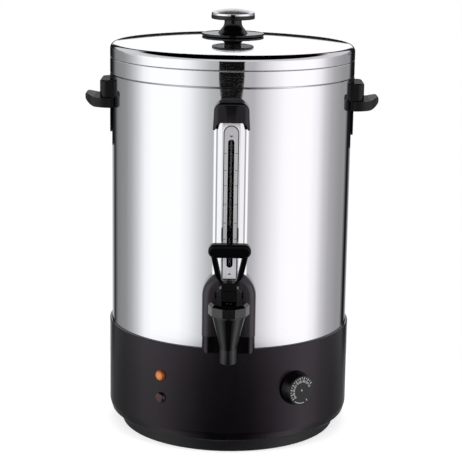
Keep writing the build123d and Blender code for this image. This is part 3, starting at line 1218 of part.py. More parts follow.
def tap_bonnet():
    """The ten-sided bonnet nut with the two ears that carry the lever's pin."""
    nut = extrude(RegularPolygon(BONNET_R, BONNET_SIDES), amount=BONNET_H)
    nut = chamfer(nut.edges().group_by(Axis.Z)[-1], BONNET_TOP_EDGE)
    nut = chamfer(nut.edges().group_by(Axis.Z)[0], BONNET_EDGE)
    nut -= rod(BOWL_THREAD_R + THREAD_FIT, BONNET_H - BONNET_ROOF)
    nut -= rod(STEM_ROD_R + RUN_FIT, BONNET_H)
    ear = outline((EAR_IN_X, -OVERLAP), (EAR_OUT_X, -OVERLAP), (EAR_OUT_X, EAR_SHOULDER, 1),
                  (EAR_TIP_X, EAR_TIP, 0.8), (EAR_IN_X, EAR_TIP))
    ear = Plane.XZ * extrude(ear, amount=EAR_HALF_D, both=True)
    ear = Pos(0, -PIVOT_FORWARD, BONNET_H) * ear
    pin = Rot(0, 90, 0) * Cylinder(PIN_R + THREAD_FIT, 4 * EAR_OUT_X)
    pin = Pos(0, -PIVOT_FORWARD, BONNET_H + PIVOT_RISE) * pin
    body = nut + ear + mirror(ear, Plane.YZ) - pin
    return Pos(0, TAP_Y, BONNET_Z) * body


def at_pivot(shape):
    return Pos(0, PIVOT_Y, PIVOT_Z) * shape


def tap_lever_pin():
    length = 2 * (EAR_OUT_X + LIFT_GAP)
    pin = Rot(0, 90, 0) * Cylinder(PIN_R, length)
    heads = [Pos(side * (length + PIN_HEAD_T) / 2, 0, 0) * Rot(0, 90, 0) * Cylinder(PIN_HEAD_R, PIN_HEAD_T)
             for side in (1, -1)]
    return at_pivot(pin + heads)


def lever_frame():
    """The forked arms and the cross bar, seen from the front, standing over the pin."""
    foot = HUB_HALF_W
    half_w = ARM_W / 2
    arms = two_sided((foot, 0), (foot, SADDLE_RISE - 4, 4), (ARM_FOOT_X + half_w + 1, SADDLE_RISE + 6, 8),
                     (ARM_TOP_X + half_w - 0.6, WINDOW_TOP + OVERLAP))
    window = two_sided((ARM_FOOT_X - half_w, SADDLE_RISE, 5),
                       (ARM_TOP_X - half_w, WINDOW_TOP + 2 * OVERLAP))
    frame = extrude(Plane.XZ * (arms - window), amount=ARM_T / 2, both=True)
    frame = fillet(frame.edges().filter_by(lambda e: abs(abs(e.center().Y) - ARM_T / 2) < 0.01
                                           and SADDLE_RISE + 4 < e.center().Z < WINDOW_TOP - 2), ARM_FILLET)
    bar_face = RectangleRounded(2 * BAR_HALF_W, 2 * BAR_HALF_H, BAR_HALF_H - 0.4)
    bar = extrude(Plane.XZ * bar_face, amount=BAR_HALF_T, both=True)
    bar = fillet(bar.edges().filter_by(lambda e: abs(abs(e.center().Y) - BAR_HALF_T) < 0.01), BAR_EDGE)
    return Rot(LEVER_LEAN, 0, 0) * (frame + Pos(0, 0, BAR_RISE) * bar)


def lever_side_cut(half_w, y0, y1, z0, z1):
    return Pos(0, (y0 + y1) / 2, (z0 + z1) / 2) * Box(2 * half_w, y1 - y0, z1 - z0)


def tap_lever():
    """The lever: a hub on the pin, two fingers under the stem's head, and the frame to pull."""
    across = Rot(0, 90, 0)
    hub = across * Cylinder(HUB_R, 2 * HUB_HALF_W)
    hub += lever_side_cut(HUB_HALF_W, -HUB_FRONT, HUB_REAR - 2, 0, HUB_TOP)
    hub &= lever_side_cut(HUB_HALF_W, -HUB_FRONT - 0.5, HUB_REAR, -HUB_R, HUB_TOP)
    hub -= lever_side_cut(CHEEK_GAP, 0.6, 2 * HUB_R, -3, HEAD_CAVITY_TOP)
    slot = lever_side_cut(FORK_GAP, -4, 2 * HUB_R, -2 * HUB_R, HEAD_CAVITY_TOP)
    hub -= slot - across * Cylinder(NECK_CLEAR_R, 4 * FORK_GAP)
    for side in (1, -1):
        middle = side * (CHEEK_GAP + FORK_GAP + OVERLAP) / 2
        hub += Pos(middle, PIVOT_FORWARD, 0) * across * Cylinder(FINGER_R, CHEEK_GAP - FORK_GAP + OVERLAP)
    frame = lever_frame() - lever_side_cut(2 * HUB_R, -FAR, FAR, -FAR, HEAD_CAVITY_TOP)
    body = hub + frame
    return at_pivot(body - across * Cylinder(PIN_R + RUN_FIT, FAR))


def tap_stem():
    """The valve stem: a rod with a head over the lever's fingers and a flange over the cup."""
    top = STEM_HEAD_Z + STEM_HEAD_T
    body = turned((0, CUP_Z + 2), (STEM_ROD_R, CUP_Z + 2), (STEM_ROD_R, STEM_FLANGE_Z),
                  (STEM_FLANGE_R, STEM_FLANGE_Z), (STEM_FLANGE_R, SPRING_Z), (STEM_ROD_R, SPRING_Z),
                  (STEM_ROD_R, STEM_HEAD_Z), (STEM_HEAD_R, STEM_HEAD_Z), (STEM_HEAD_R, top, 0.8), (0, top))
    return Pos(0, TAP_Y, 0) * body


def tap_seat_cup():
    """The soft cup that closes the valve seat."""
    nose_r = SEAT_R - SEAT_CONE
    wall = SEAT_R - LIFT_GAP
    cup = turned((0, CUP_Z - SEAT_CONE), (nose_r - 2 * LIFT_GAP, CUP_Z - SEAT_CONE),
                 (wall - LIFT_GAP, CUP_Z),
                 (wall, CUP_Z + 2), (STEM_FLANGE_R, STEM_FLANGE_Z), (0, STEM_FLANGE_Z))
    cup -= Pos(0, 0, CUP_Z + 2) * rod(STEM_ROD_R + THREAD_FIT, CUP_H)
    return Pos(0, TAP_Y, 0) * cup


def tap_spring():
    """The coil spring that presses the cup onto its seat."""
    start = SPRING_Z + SPRING_WIRE + THREAD_FIT
    height = SPRING_TOP_Z - SPRING_WIRE - THREAD_FIT - start
    path = Helix(pitch=height / SPRING_TURNS, height=height, radius=SPRING_R)
    coil = sweep(Plane(origin=path @ 0, z_dir=path % 0) * Circle(SPRING_WIRE), path=path, is_frenet=True)
    return Pos(0, TAP_Y, start) * coil


# --- all nodes -------------------------------------------------------------------------------------
NODES = {
    "tank": tank, "tank_studs": tank_studs, "tank_nuts": tank_nuts,
    "heating_element": heating_element, "element_gaskets": element_gaskets, "element_nuts": element_nuts,
    "keep_warm_heater": keep_warm_heater, "heater_clamp_plate": heater_clamp_plate,
    "base_skirt": base_skirt, "bottom_cover": bottom_cover,
    "rubber_feet": rubber_feet, "base_screws": base_screws,
    "thermostat_body": thermostat_body, "thermostat_shaft": thermostat_shaft,
    "thermostat_screws": thermostat_screws, "thermostat_dial": thermostat_dial,
    "thermostat_bulb": thermostat_bulb, "bulb_clip": bulb_clip,
    "warm_lamp_lens": lambda: lamp_lens(WARM_LAMP_Z), "heat_lamp_lens": lambda: lamp_lens(HEAT_LAMP_Z),
    "lamp_bodies": lamp_bodies, "thermal_cutout": thermal_cutout, "reset_button": reset_button,
    "power_inlet": power_inlet, "inlet_pins": inlet_pins, "inlet_screws": inlet_screws,
    "terminal_block": terminal_block, "wiring_loom": wiring_loom,
    "left_handle": lambda: handle(-1), "right_handle": lambda: handle(1),
    "handle_screws": handle_screws, "handle_washers": handle_washers,
    "lid_shell": lid_shell, "lid_locating_ring": lid_locating_ring, "lid_knob_flange": lid_knob_flange,
    "lid_knob": lid_knob, "lid_knob_cap": lid_knob_cap, "lid_knob_screw": lid_knob_screw,
    "lid_knob_washer": lid_knob_washer,
    "gauge_cover": gauge_cover, "gauge_plate": gauge_plate, "gauge_liner": gauge_liner,
    "gauge_glass": gauge_glass, "gauge_seals": gauge_seals, "gauge_top_cap": gauge_top_cap,
    "gauge_cap_screw": gauge_cap_screw,
    "tap_shroud": tap_shroud, "tap_shank": tap_shank,
    "tap_gaskets": tap_gaskets, "tap_lock_nut": tap_lock_nut,
    "tap_body": tap_body, "tap_bonnet": tap_bonnet, "tap_lever_pin": tap_lever_pin, "tap_lever": tap_lever,
    "tap_stem": tap_stem, "tap_seat_cup": tap_seat_cup, "tap_spring": tap_spring,
}

os.makedirs("parts", exist_ok=True)
for name, make in NODES.items():
    export_step(make(), f"parts/{name}.step")
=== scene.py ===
"""Hot water urn: the finishes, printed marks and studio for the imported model."""

import math

import bmesh
import bpy
from bpy.props import FloatProperty, FloatVectorProperty, PointerProperty
from mathutils import Matrix, Vector


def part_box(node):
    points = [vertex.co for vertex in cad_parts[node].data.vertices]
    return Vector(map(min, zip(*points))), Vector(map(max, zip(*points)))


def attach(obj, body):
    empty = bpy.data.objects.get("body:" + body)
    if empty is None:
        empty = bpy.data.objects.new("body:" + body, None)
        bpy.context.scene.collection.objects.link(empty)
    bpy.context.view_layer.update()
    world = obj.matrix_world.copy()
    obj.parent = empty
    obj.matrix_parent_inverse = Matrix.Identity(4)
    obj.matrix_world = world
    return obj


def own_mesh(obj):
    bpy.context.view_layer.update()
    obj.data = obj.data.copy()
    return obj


bl_info = {
    "name": "Hot Water Urn",
    "version": (1, 0, 0),
    "blender": (4, 5, 0),
    "location": "3D View > Sidebar > Urn",
    "description": "Finishes the urn's pieces, prints its marks and sets its studio",
    "category": "Object",
}

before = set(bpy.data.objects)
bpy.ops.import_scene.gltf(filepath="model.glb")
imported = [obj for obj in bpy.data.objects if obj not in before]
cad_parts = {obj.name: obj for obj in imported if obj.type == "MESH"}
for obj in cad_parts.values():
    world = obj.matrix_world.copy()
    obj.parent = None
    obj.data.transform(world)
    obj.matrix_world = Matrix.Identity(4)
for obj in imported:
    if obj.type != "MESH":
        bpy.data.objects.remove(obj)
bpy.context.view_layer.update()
MM = 0.001

# Prints start this far inside the surface, so that no gap shows.
SINK = 0.01 * MM

# The gauge's print, and the painted shade line round its plate's edge, in millimetres. The shade line stands
# in from the plate's sides and top, and from its foot.
PLATE_EDGE = 0.05
PLATE_FOOT = 0.5
SCALE_LINES = (351.9, 333.3, 316.6, 295.8, 275.0, 257.1)
SCALE_NEAR = 4.4
SCALE_FAR = 8.0
# Each fill mark's height, its half width and the way that its pointer turns.
FILL_MARKS = ((371.0, 2.4, -1), (217.6, 1.8, 1))
FILL_LINE = 0.7
FILL_POINTER = 1.6

# The dial's face: degrees from the front, distance from the urn's axis and height, in millimetres.
DIAL_TURN = 32.6
DIAL_REACH = 156.1
DIAL_HEIGHT = 76.2
# Its scale, in degrees round the dial and millimetres from its middle. A line has its start and its width.
DIAL_FIRST = 217.0
DIAL_LAST = 31.0
DIAL_NUMBERS = range(30, 111, 10)
DIAL_NUMBERS_R = 10.7
DIAL_LINES_R = 15.6
DIAL_LONG_LINE = (12.9, 0.8)
DIAL_SHORT_LINE = (13.6, 0.55)
# An arc leads up to the line where the dial is off, and a small triangle marks the middle.
DIAL_ARC = range(232, 288, 4)
DIAL_ARC_R = 15.0
DIAL_ARC_IN_R = 14.4
DIAL_OFF = 300.0
DIAL_OFF_LINE = (12.6, 0.8)
DIAL_TRIANGLE = ((90, 2.0), (215, 1.1), (325, 1.1))

# How far from its middle a lens's painted shade is darkest.
LENS_SHADE_R = 6.6 * MM
# How high the band at the shroud's foot is.
SHROUD_BAND = 19.0 * MM
# Above this the knob's cap is brushed.
KNOB_CAP_RIM_Z = 491.2 * MM


def linear(code):
    """A six-digit sRGB colour as linear red, green and blue."""
    parts = (int(code[i : i + 2], 16) / 255 for i in (0, 2, 4))
    return tuple(p / 12.92 if p <= 0.04045 else ((p + 0.055) / 1.055) ** 2.4 for p in parts)


def add(tree, kind, inputs=(), stops=(), out=0, **settings):
    """Adds a shader node with its settings and links, and returns one of its outputs.

    Inputs are values or other nodes' outputs, in order or by name or place. Stops are a ramp's places, each
    with its brightness or colour.
    """
    node = tree.nodes.new("ShaderNode" + kind)
    for name, value in settings.items():
        setattr(node, name, value)
    for key, value in inputs.items() if isinstance(inputs, dict) else enumerate(inputs):
        socket = node.inputs[key]
        if isinstance(value, bpy.types.NodeSocket):
            tree.links.new(value, socket)
        else:
            socket.default_value = (*value[:3], 1.0) if socket.type == "RGBA" else value
    if stops:
        ramp = node.color_ramp.elements
        while len(ramp) < len(stops):
            ramp.new(1.0)
        for element, (place, colour) in zip(ramp, stops):
            element.position = place
            element.color = (*((colour,) * 3 if isinstance(colour, float) else colour[:3]), 1.0)
    return node.outputs[out] if node.outputs else None


def new_tree(name):
    """A new material with its empty node tree."""
    material = bpy.data.materials.new(name)
    material.use_nodes = True
    material.node_tree.nodes.clear()
    return material, material.node_tree


def finished(material, inputs):
    """The material with its surface, which has these inputs."""
    tree = material.node_tree
    add(tree, "OutputMaterial", {"Surface": add(tree, "BsdfPrincipled", inputs)})
    return material


def round_place(tree, where):
    """The place as angle round the urn's axis, distance from it and height."""
    x, y, z = add(tree, "SeparateXYZ", (where,)).node.outputs
    front = add(tree, "Math", (y, -1.0), operation="MULTIPLY")
    angle = add(tree, "Math", (x, front), operation="ARCTAN2")
    flat = add(tree, "CombineXYZ", (x, y))
    reach = add(tree, "VectorMath", (flat,), out="Value", operation="LENGTH")
    return add(tree, "CombineXYZ", (angle, reach, z))


def drifting(tree, patches, colour, shade):
    """The colour, which drifts to its shade where the patches rise."""
    amount = add(tree, "MapRange", (patches, 0.35, 0.65, 0.0, 1.0))
    return add(tree, "Mix", {0: amount, 6: colour, 7: shade}, out=2, data_type="RGBA")


def polished_steel(name, colour, wave, low=0.025, high=0.06, satin=None):
    """Stainless steel sheet, drawn and then polished to a mirror on a turning mop.

    It mirrors the room sharply. The mop leaves faint lines round the axis, and the drawn sheet is not quite
    true, so long reflections waver a little. Above the satin height, if one is given, it is only brushed.
    """
    material, tree = new_tree(name)
    where = add(tree, "TexCoord", out="Object")
    # Lines of 0.02 mm grit would not show; these are 0.8 mm apart.
    per_metre = 1 / (0.8 * MM)
    around = (round_place(tree, where), (3.0, per_metre, per_metre))
    around = add(tree, "VectorMath", around, operation="MULTIPLY")
    lines = add(tree, "TexNoise", {"Vector": around, "Scale": 1.0, "Detail": 3.0})
    rough = add(tree, "MapRange", (lines, 0.3, 0.7, low, high))
    if satin:
        height = add(tree, "SeparateXYZ", (where,), out="Z")
        brushed = add(tree, "MapRange", (height, satin, satin + 0.3 * MM, 0.0, 1.0))
        rough = add(tree, "Mix", {0: brushed, 2: rough, 3: 0.3})
    cloud = add(tree, "TexNoise", {"Vector": where, "Scale": 1 / (60 * MM)})
    duller = [0.985 * c for c in colour]
    sheet = add(tree, "TexNoise", {"Vector": where, "Scale": 1 / (45 * MM), "Detail": 0.0})
    return finished(material, {
        "Base Color": add(tree, "Mix", {0: cloud, 6: colour, 7: duller}, out=2, data_type="RGBA"),
        "Roughness": rough,
        "Metallic": 1.0,
        "Normal": add(tree, "Bump", {"Height": sheet, "Distance": wave}),
    })


def worked_metal(name, colour, shade, rough, grain, stretch=(1.0, 1.0, 1.0)):
    """Metal as it leaves the machine: drawn, turned, pressed or plated, with its fine lines or grains.

    It shines softly, in streaks that follow the tool, and its colour drifts a little.
    """
    material, tree = new_tree(name)
    where = add(tree, "TexCoord", out="Object")
    along = add(tree, "VectorMath", (where, stretch), operation="MULTIPLY")
    lines = add(tree, "TexNoise", {"Vector": along, "Scale": 1 / grain, "Detail": 3.0})
    tone = add(tree, "TexNoise", {"Vector": where, "Scale": 1 / (14 * MM)})
    return finished(material, {
        "Base Color": drifting(tree, tone, colour, shade),
        "Roughness": add(tree, "MapRange", (lines, 0.3, 0.7, 0.75 * rough, 1.3 * rough)),
        "Metallic": 1.0,
        "Normal": add(tree, "Bump", {"Height": lines, "Distance": 0.004 * MM}),
    })


def moulded_plastic(
    name, colour, shade, rough, peel=1.4 * MM, depth=0.0035 * MM, shine=0.5, painted_reflection_tint="FFFFFF", crown=None,
    worn=None, band=None,
):
    """Injection-moulded thermoplastic from a polished or a spark-eroded tool.

    Gloss parts mirror softly with the slight orange peel of moulding, satin ones scatter the light. Broad
    faces are crowned from side to side by the given radius, so that they don't sink as they cool. Where
    hands press from above, the gloss is worn to the given roughness. A band at the foot leans in below the
    given height. Their reflections take a painted tint of the given colour.
    """
    material, tree = new_tree(name)
    where = add(tree, "TexCoord", out="Object")
    flow = add(tree, "TexNoise", {"Vector": where, "Scale": 1 / (35 * MM), "Detail": 1.0})
    skin = add(tree, "TexNoise", {"Vector": where, "Scale": 1 / peel})
    rough = add(tree, "MapRange", (skin, 0.3, 0.7, 0.85 * rough, 1.15 * rough))
    if worn:
        up = add(tree, "SeparateXYZ", (add(tree, "NewGeometry", out="Normal"),), out="Z")
        top = add(tree, "MapRange", (up, 0.85, 0.97, 0.0, 1.0))
        rough = add(tree, "Mix", {0: top, 2: rough, 3: worn})
    form = {}
    if crown:
        aside = add(tree, "SeparateXYZ", (where,), out="X")
        square = add(tree, "Math", (aside, 2.0), operation="POWER")
        bow = add(tree, "Math", (square, -0.5 / crown), operation="MULTIPLY")
        form["Normal"] = add(tree, "Bump", {"Height": bow, "Distance": 1.0})
    if band:
        height = add(tree, "SeparateXYZ", (where,), out="Z")
        below = add(tree, "Math", (height, band), operation="SUBTRACT")
        below = add(tree, "Math", (below, 0.0), operation="MINIMUM")
        # One in four, so that it mirrors the dark foot of the room.
        form["Normal"] = add(tree, "Bump", {"Height": below, "Distance": 0.25, **form})
    return finished(material, {
        "Base Color": drifting(tree, flow, colour, shade),
        "Roughness": rough,
        "Specular IOR Level": shine,
        # Painted reflection colour: the reflections take this colour's cast.
        "Specular Tint": linear(painted_reflection_tint),
        "Normal": add(tree, "Bump", {"Height": skin, "Distance": depth, **form}),
    })


def moulded_rubber(name, colour, shade, rough):
    """Rubber or silicone pressed in a mould: dull, with a fine dusty bloom and faint pits."""
    material, tree = new_tree(name)
    where = add(tree, "TexCoord", out="Object")
    bloom = add(tree, "TexNoise", {"Vector": where, "Scale": 1 / (6 * MM), "Detail": 3.0})
    pits = add(tree, "TexVoronoi", {"Vector": where, "Scale": 1 / (0.9 * MM)})
    return finished(material, {
        "Base Color": drifting(tree, bloom, colour, shade),
        "Roughness": add(tree, "MapRange", (bloom, 0.3, 0.7, rough - 0.08, rough + 0.08)),
        "Normal": add(tree, "Bump", {"Height": pits, "Distance": 0.02 * MM}),
    })


def anodised_plate(name, colour, shade):
    """Aluminium plate, brushed lengthwise and anodised silver grey, as scales are made.

    It is matt and light, with hair lines along its length. The second colour is painted light: it makes the
    plate's foot lighter.
    """
    material, tree = new_tree(name)
    where = add(tree, "TexCoord", out="Object")
    # Brushing is finer than 0.1 mm; 0.35 mm lines still show.
    along = add(tree, "VectorMath", (where, (1.0, 1.0, 0.01)), operation="MULTIPLY")
    hair = add(tree, "TexNoise", {"Vector": along, "Scale": 1 / (0.35 * MM)})
    height = add(tree, "SeparateXYZ", (where,), out="Z")
    # Painted light: from 242 mm down to 228 mm the plate turns to the lighter second colour.
    foot = add(tree, "MapRange", (height, 228 * MM, 242 * MM, 1.0, 0.0))
    colour_with_painted_light = add(tree, "Mix", {0: foot, 6: colour, 7: shade}, out=2, data_type="RGBA")
    dark = [0.55 * c for c in colour]
    lines = add(tree, "MapRange", (hair, 0.35, 0.65, 0.0, 0.25))
    return finished(material, {
        "Base Color": add(tree, "Mix", {0: lines, 6: colour_with_painted_light, 7: dark}, out=2, data_type="RGBA"),
        "Roughness": add(tree, "MapRange", (hair, 0.3, 0.7, 0.38, 0.52)),
        "Normal": add(tree, "Bump", {"Height": hair, "Distance": 0.003 * MM}),
    })


def drawn_glass(name, colour):
    """Borosilicate glass tube, drawn: clear with a grey cast, and with long faint draw lines."""
    material, tree = new_tree(name)
    where = add(tree, "TexCoord", out="Object")
    along = add(tree, "VectorMath", (where, (1.0, 1.0, 0.02)), operation="MULTIPLY")
    draw = add(tree, "TexNoise", {"Vector": along, "Scale": 1 / (1.2 * MM), "Detail": 1.0})
    clear = (0.99, 0.99, 0.99)
    return finished(material, {
        "Base Color": add(tree, "Mix", {0: draw, 6: colour, 7: clear}, out=2, data_type="RGBA"),
        "Roughness": add(tree, "MapRange", (draw, 0.0, 1.0, 0.09, 0.14)),
        "Transmission Weight": 1.0,
        "IOR": 1.47,
        "Normal": add(tree, "Bump", {"Height": draw, "Distance": 0.0004 * MM}),
    })


def lamp_lens(name, middle, rim, node):
    """Polycarbonate lens, moulded with rings inside: its middle is painted lit, and painted shade deepens
    towards the rim.
    """
    material, tree = new_tree(name)
    where = add(tree, "TexCoord", out="Object")
    low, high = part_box(node)
    centre = tuple((low + high) / 2)
    apart = add(tree, "VectorMath", (where, centre), out="Value", operation="DISTANCE")
    share = add(tree, "MapRange", (apart, 0.0, LENS_SHADE_R, 0.0, 1.0))
    # Painted light in the middle, and painted shade towards the rim.
    stops = ((0.0, middle), (0.6, middle), (0.92, rim), (1.0, [0.35 * c for c in rim]))
    # Prism rings 0.7 mm apart.
    rings = add(tree, "Math", (apart, math.tau / (0.7 * MM)), operation="MULTIPLY")
    wave = add(tree, "Math", (rings,), operation="SINE")
    return finished(material, {
        "Base Color": add(tree, "ValToRGB", (share,), stops),
        "Roughness": add(tree, "MapRange", (wave, -1.0, 1.0, 0.1, 0.16)),
        "Coat Weight": 0.4,
        "Coat Roughness": 0.06,
        "Normal": add(tree, "Bump", {"Height": wave, "Distance": 0.01 * MM}),
    })


def braided_sleeve(name, colour, shade):
    """Glass-fibre sleeve braided over the wires: off-white strands crossing every 1.6 mm."""
    material, tree = new_tree(name)
    where = add(tree, "TexCoord", out="Object")
    strands = []
    for slant in (1.0, -1.0):
        bent = add(tree, "VectorMath", (where, (slant, 1.0, slant)), operation="MULTIPLY")
        wave = {"Vector": bent, "Scale": 0.31 / (1.6 * MM), "Distortion": 0.6}
        strands.append(add(tree, "TexWave", wave, out=1, bands_direction="DIAGONAL"))
    weave = add(tree, "Math", strands, operation="MULTIPLY")
    return finished(material, {
        "Base Color": add(tree, "Mix", {0: weave, 6: shade, 7: colour}, out=2, data_type="RGBA"),
        "Roughness": add(tree, "MapRange", (weave, 0.0, 1.0, 0.8, 0.6)),
        "Normal": add(tree, "Bump", {"Height": weave, "Distance": 0.12 * MM}),
    })


def mica_sheet(name, colour, shade):
    """Mica sheet wound with a heating ribbon: golden flakes 3 mm across, pressed and baked."""
    material, tree = new_tree(name)
    where = add(tree, "TexCoord", out="Object")
    flakes = add(tree, "TexVoronoi", {"Vector": where, "Scale": 1 / (3 * MM)}).node.outputs
    tone = add(tree, "SeparateXYZ", (flakes["Color"],))
    return finished(material, {
        "Base Color": add(tree, "Mix", {0: tone, 6: colour, 7: shade}, out=2, data_type="RGBA"),
        "Roughness": add(tree, "MapRange", (tone, 0.0, 1.0, 0.3, 0.5)),
        "Normal": add(tree, "Bump", {"Height": flakes["Distance"], "Distance": 0.03 * MM}),
    })


def heated_tube(name, colour, straw, blue):
    """Nickel-alloy sheath of a heating element, drawn and annealed: dull grey with straw and blue tints."""
    material, tree = new_tree(name)
    where = add(tree, "TexCoord", out="Object")
    heat = add(tree, "TexNoise", {"Vector": where, "Scale": 1 / (28 * MM), "Detail": 1.0})
    lines = add(tree, "TexNoise", {"Vector": where, "Scale": 1 / (0.9 * MM), "Detail": 3.0})
    stops = ((0.3, blue), (0.45, colour), (0.6, straw), (0.75, colour))
    return finished(material, {
        "Base Color": add(tree, "ValToRGB", (heat,), stops),
        "Roughness": add(tree, "MapRange", (lines, 0.3, 0.7, 0.28, 0.42)),
        "Metallic": 1.0,
        "Normal": add(tree, "Bump", {"Height": lines, "Distance": 0.006 * MM}),
    })


def printed_ink(name, colour, shade):
    """Screen-printed ink: even, very slightly raised, a little less glossy than what it lies on."""
    material, tree = new_tree(name)
    where = add(tree, "TexCoord", out="Object")
    screen = add(tree, "TexNoise", {"Vector": where, "Scale": 1 / (0.3 * MM), "Detail": 1.0})
    return finished(material, {
        "Base Color": add(tree, "Mix", {0: screen, 6: colour, 7: shade}, out=2, data_type="RGBA"),
        "Roughness": add(tree, "MapRange", (screen, 0.0, 1.0, 0.4, 0.5)),
        "Normal": add(tree, "Bump", {"Height": screen, "Distance": 0.002 * MM}),
    })


def colour_of(name, text, code):
    """A colour that the user may change."""
    return FloatVectorProperty(
        name=name, description=text, subtype="COLOR", size=3, min=0, max=1, default=linear(code)
    )


def length_of(name, text, millimetres):
    """A size that the user may change, kept in metres."""
    return FloatProperty(
        name=name, description=text, unit="LENGTH", precision=5, min=0, default=millimetres * MM
    )


class UrnFinishes(bpy.types.PropertyGroup):
    """Colours and depths of the finishes."""

    steel: colour_of("Polished steel", "Colour of the tank's and lid's mirror steel", "FAFAFC")
    gloss_black: colour_of("Gloss black", "Colour of base, handles, knob, gauge cap and shroud", "060507")
    tap_black: colour_of("Tap black", "Colour of the tap's body, bonnet and lever", "050506")
    satin_black: colour_of("Satin black", "Colour of the inlet and the bottom cover", "121214")
    plate_grey: colour_of("Scale plate", "Colour of the gauge's anodised plate", "C6C4C8")
    amber: colour_of("Keep-warm lens", "Colour of the amber lens", "FFA85A")
    maroon: colour_of("Heating lens", "Colour of the dark red lens", "5A1418")
    wave: length_of("Sheet wave", "How far the drawn sheet wavers", 0.05)
    peel: length_of("Orange peel", "Depth of the moulded skin's waves", 0.0035)


class UrnMarks(bpy.types.PropertyGroup):
    """Sizes and colours of the printed marks, and of the painted shade line round the gauge's plate."""

    tick: length_of("Scale line", "Thickness of the gauge's lines", 0.45)
    # Painted shade: the dark line round the plate stands for the shade at its edge.
    border: length_of("Scale border", "Width of the dark line round the gauge's plate", 1.1)
    ink: length_of("Ink height", "How far the printed ink stands proud", 0.06)
    numerals: length_of("Numerals", "Height of the dial's numbers", 2.7)
    white: colour_of("Dial print", "Colour of the dial's print", "E6E6E4")
    # The scale's print colour also paints the shade line round the plate.
    dark: colour_of("Scale print", "Colour of the gauge's print", "3A383D")


class UrnStage(bpy.types.PropertyGroup):
    """The studio."""

    floor_radius: length_of("Floor radius", "Radius of the pale board under the urn", 310.0)
    floor: colour_of("Floor", "Colour of the board", "E8E8E8")
    room: FloatProperty(name="Room light", description="Strength of the even light", min=0, default=0.6)


def dress(material, *nodes):
    """Gives the finish to CAD pieces."""
    for node in nodes:
        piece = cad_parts[node]
        if not piece.material_slots:
            piece.data.materials.append(material)
        for slot in piece.material_slots:
            slot.material = material


def slab(mesh, outline, rise):
    """Adds one printed mark: a flat outline and how far it rises."""
    low = [mesh.verts.new(p) for p in outline]
    high = [mesh.verts.new(p + rise) for p in outline]
    mesh.faces.new(high)
    mesh.faces.new(low[::-1])
    for i, here in enumerate(low):
        j = (i + 1) % len(low)
        mesh.faces.new((here, low[j], high[j], high[i]))


def new_piece(name, mesh, material, body):
    """Makes a piece of the urn from a finished mesh."""
    bmesh.ops.recalc_face_normals(mesh, faces=mesh.faces)
    data = bpy.data.meshes.new(name)
    mesh.to_mesh(data)
    mesh.free()
    data.materials.append(material)
    piece = bpy.data.objects.new(name, data)
    bpy.context.scene.collection.objects.link(piece)
    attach(piece, body)


def settings_of(context):
    """The three groups of settings."""
    scene = context.scene
    return scene.urn_finishes, scene.urn_marks, scene.urn_stage


class URN_OT_tank(bpy.types.Operator):
    """Polishes the tank and the lid"""

    bl_idname = "urn.tank"
    bl_label = "Tank and lid"

    def execute(self, context):
        finishes = settings_of(context)[0]
        steel = polished_steel("Stainless steel, mirror polished", finishes.steel, finishes.wave)
        dress(steel, "tank", "lid_shell")
        inner = worked_metal(
            "Stainless steel, bright rolled", linear("D6D6D8"), linear("C6C6CA"), 0.22, 0.7 * MM,
            (1.0, 1.0, 0.08),
        )
        dress(inner, "lid_locating_ring")
        return {"FINISHED"}


class URN_OT_knob(bpy.types.Operator):
    """Finishes the lid's knob with its shield and cap"""

    bl_idname = "urn.knob"
    bl_label = "Knob"

    def execute(self, context):
        finishes = settings_of(context)[0]
        black = moulded_plastic(
            "Phenolic, black, moulded gloss", finishes.gloss_black, linear("0A090B"), 0.16,
            depth=finishes.peel,
        )
        dress(black, "lid_knob", "lid_knob_flange")
        cap = polished_steel(
            "Stainless steel, pressed and polished", finishes.steel, 0.01 * MM, 0.05, 0.1, KNOB_CAP_RIM_Z
        )
        dress(cap, "lid_knob_cap")
        return {"FINISHED"}


class URN_OT_handles(bpy.types.Operator):
    """Finishes the two side handles"""

    bl_idname = "urn.handles"
    bl_label = "Handles"

    def execute(self, context):
        finishes = settings_of(context)[0]
        black = moulded_plastic(
            "Nylon, black, moulded gloss", finishes.gloss_black, linear("0A080C"), 0.2,
            depth=finishes.peel, shine=0.3, worn=0.5,
        )
        dress(black, "left_handle", "right_handle")
        return {"FINISHED"}


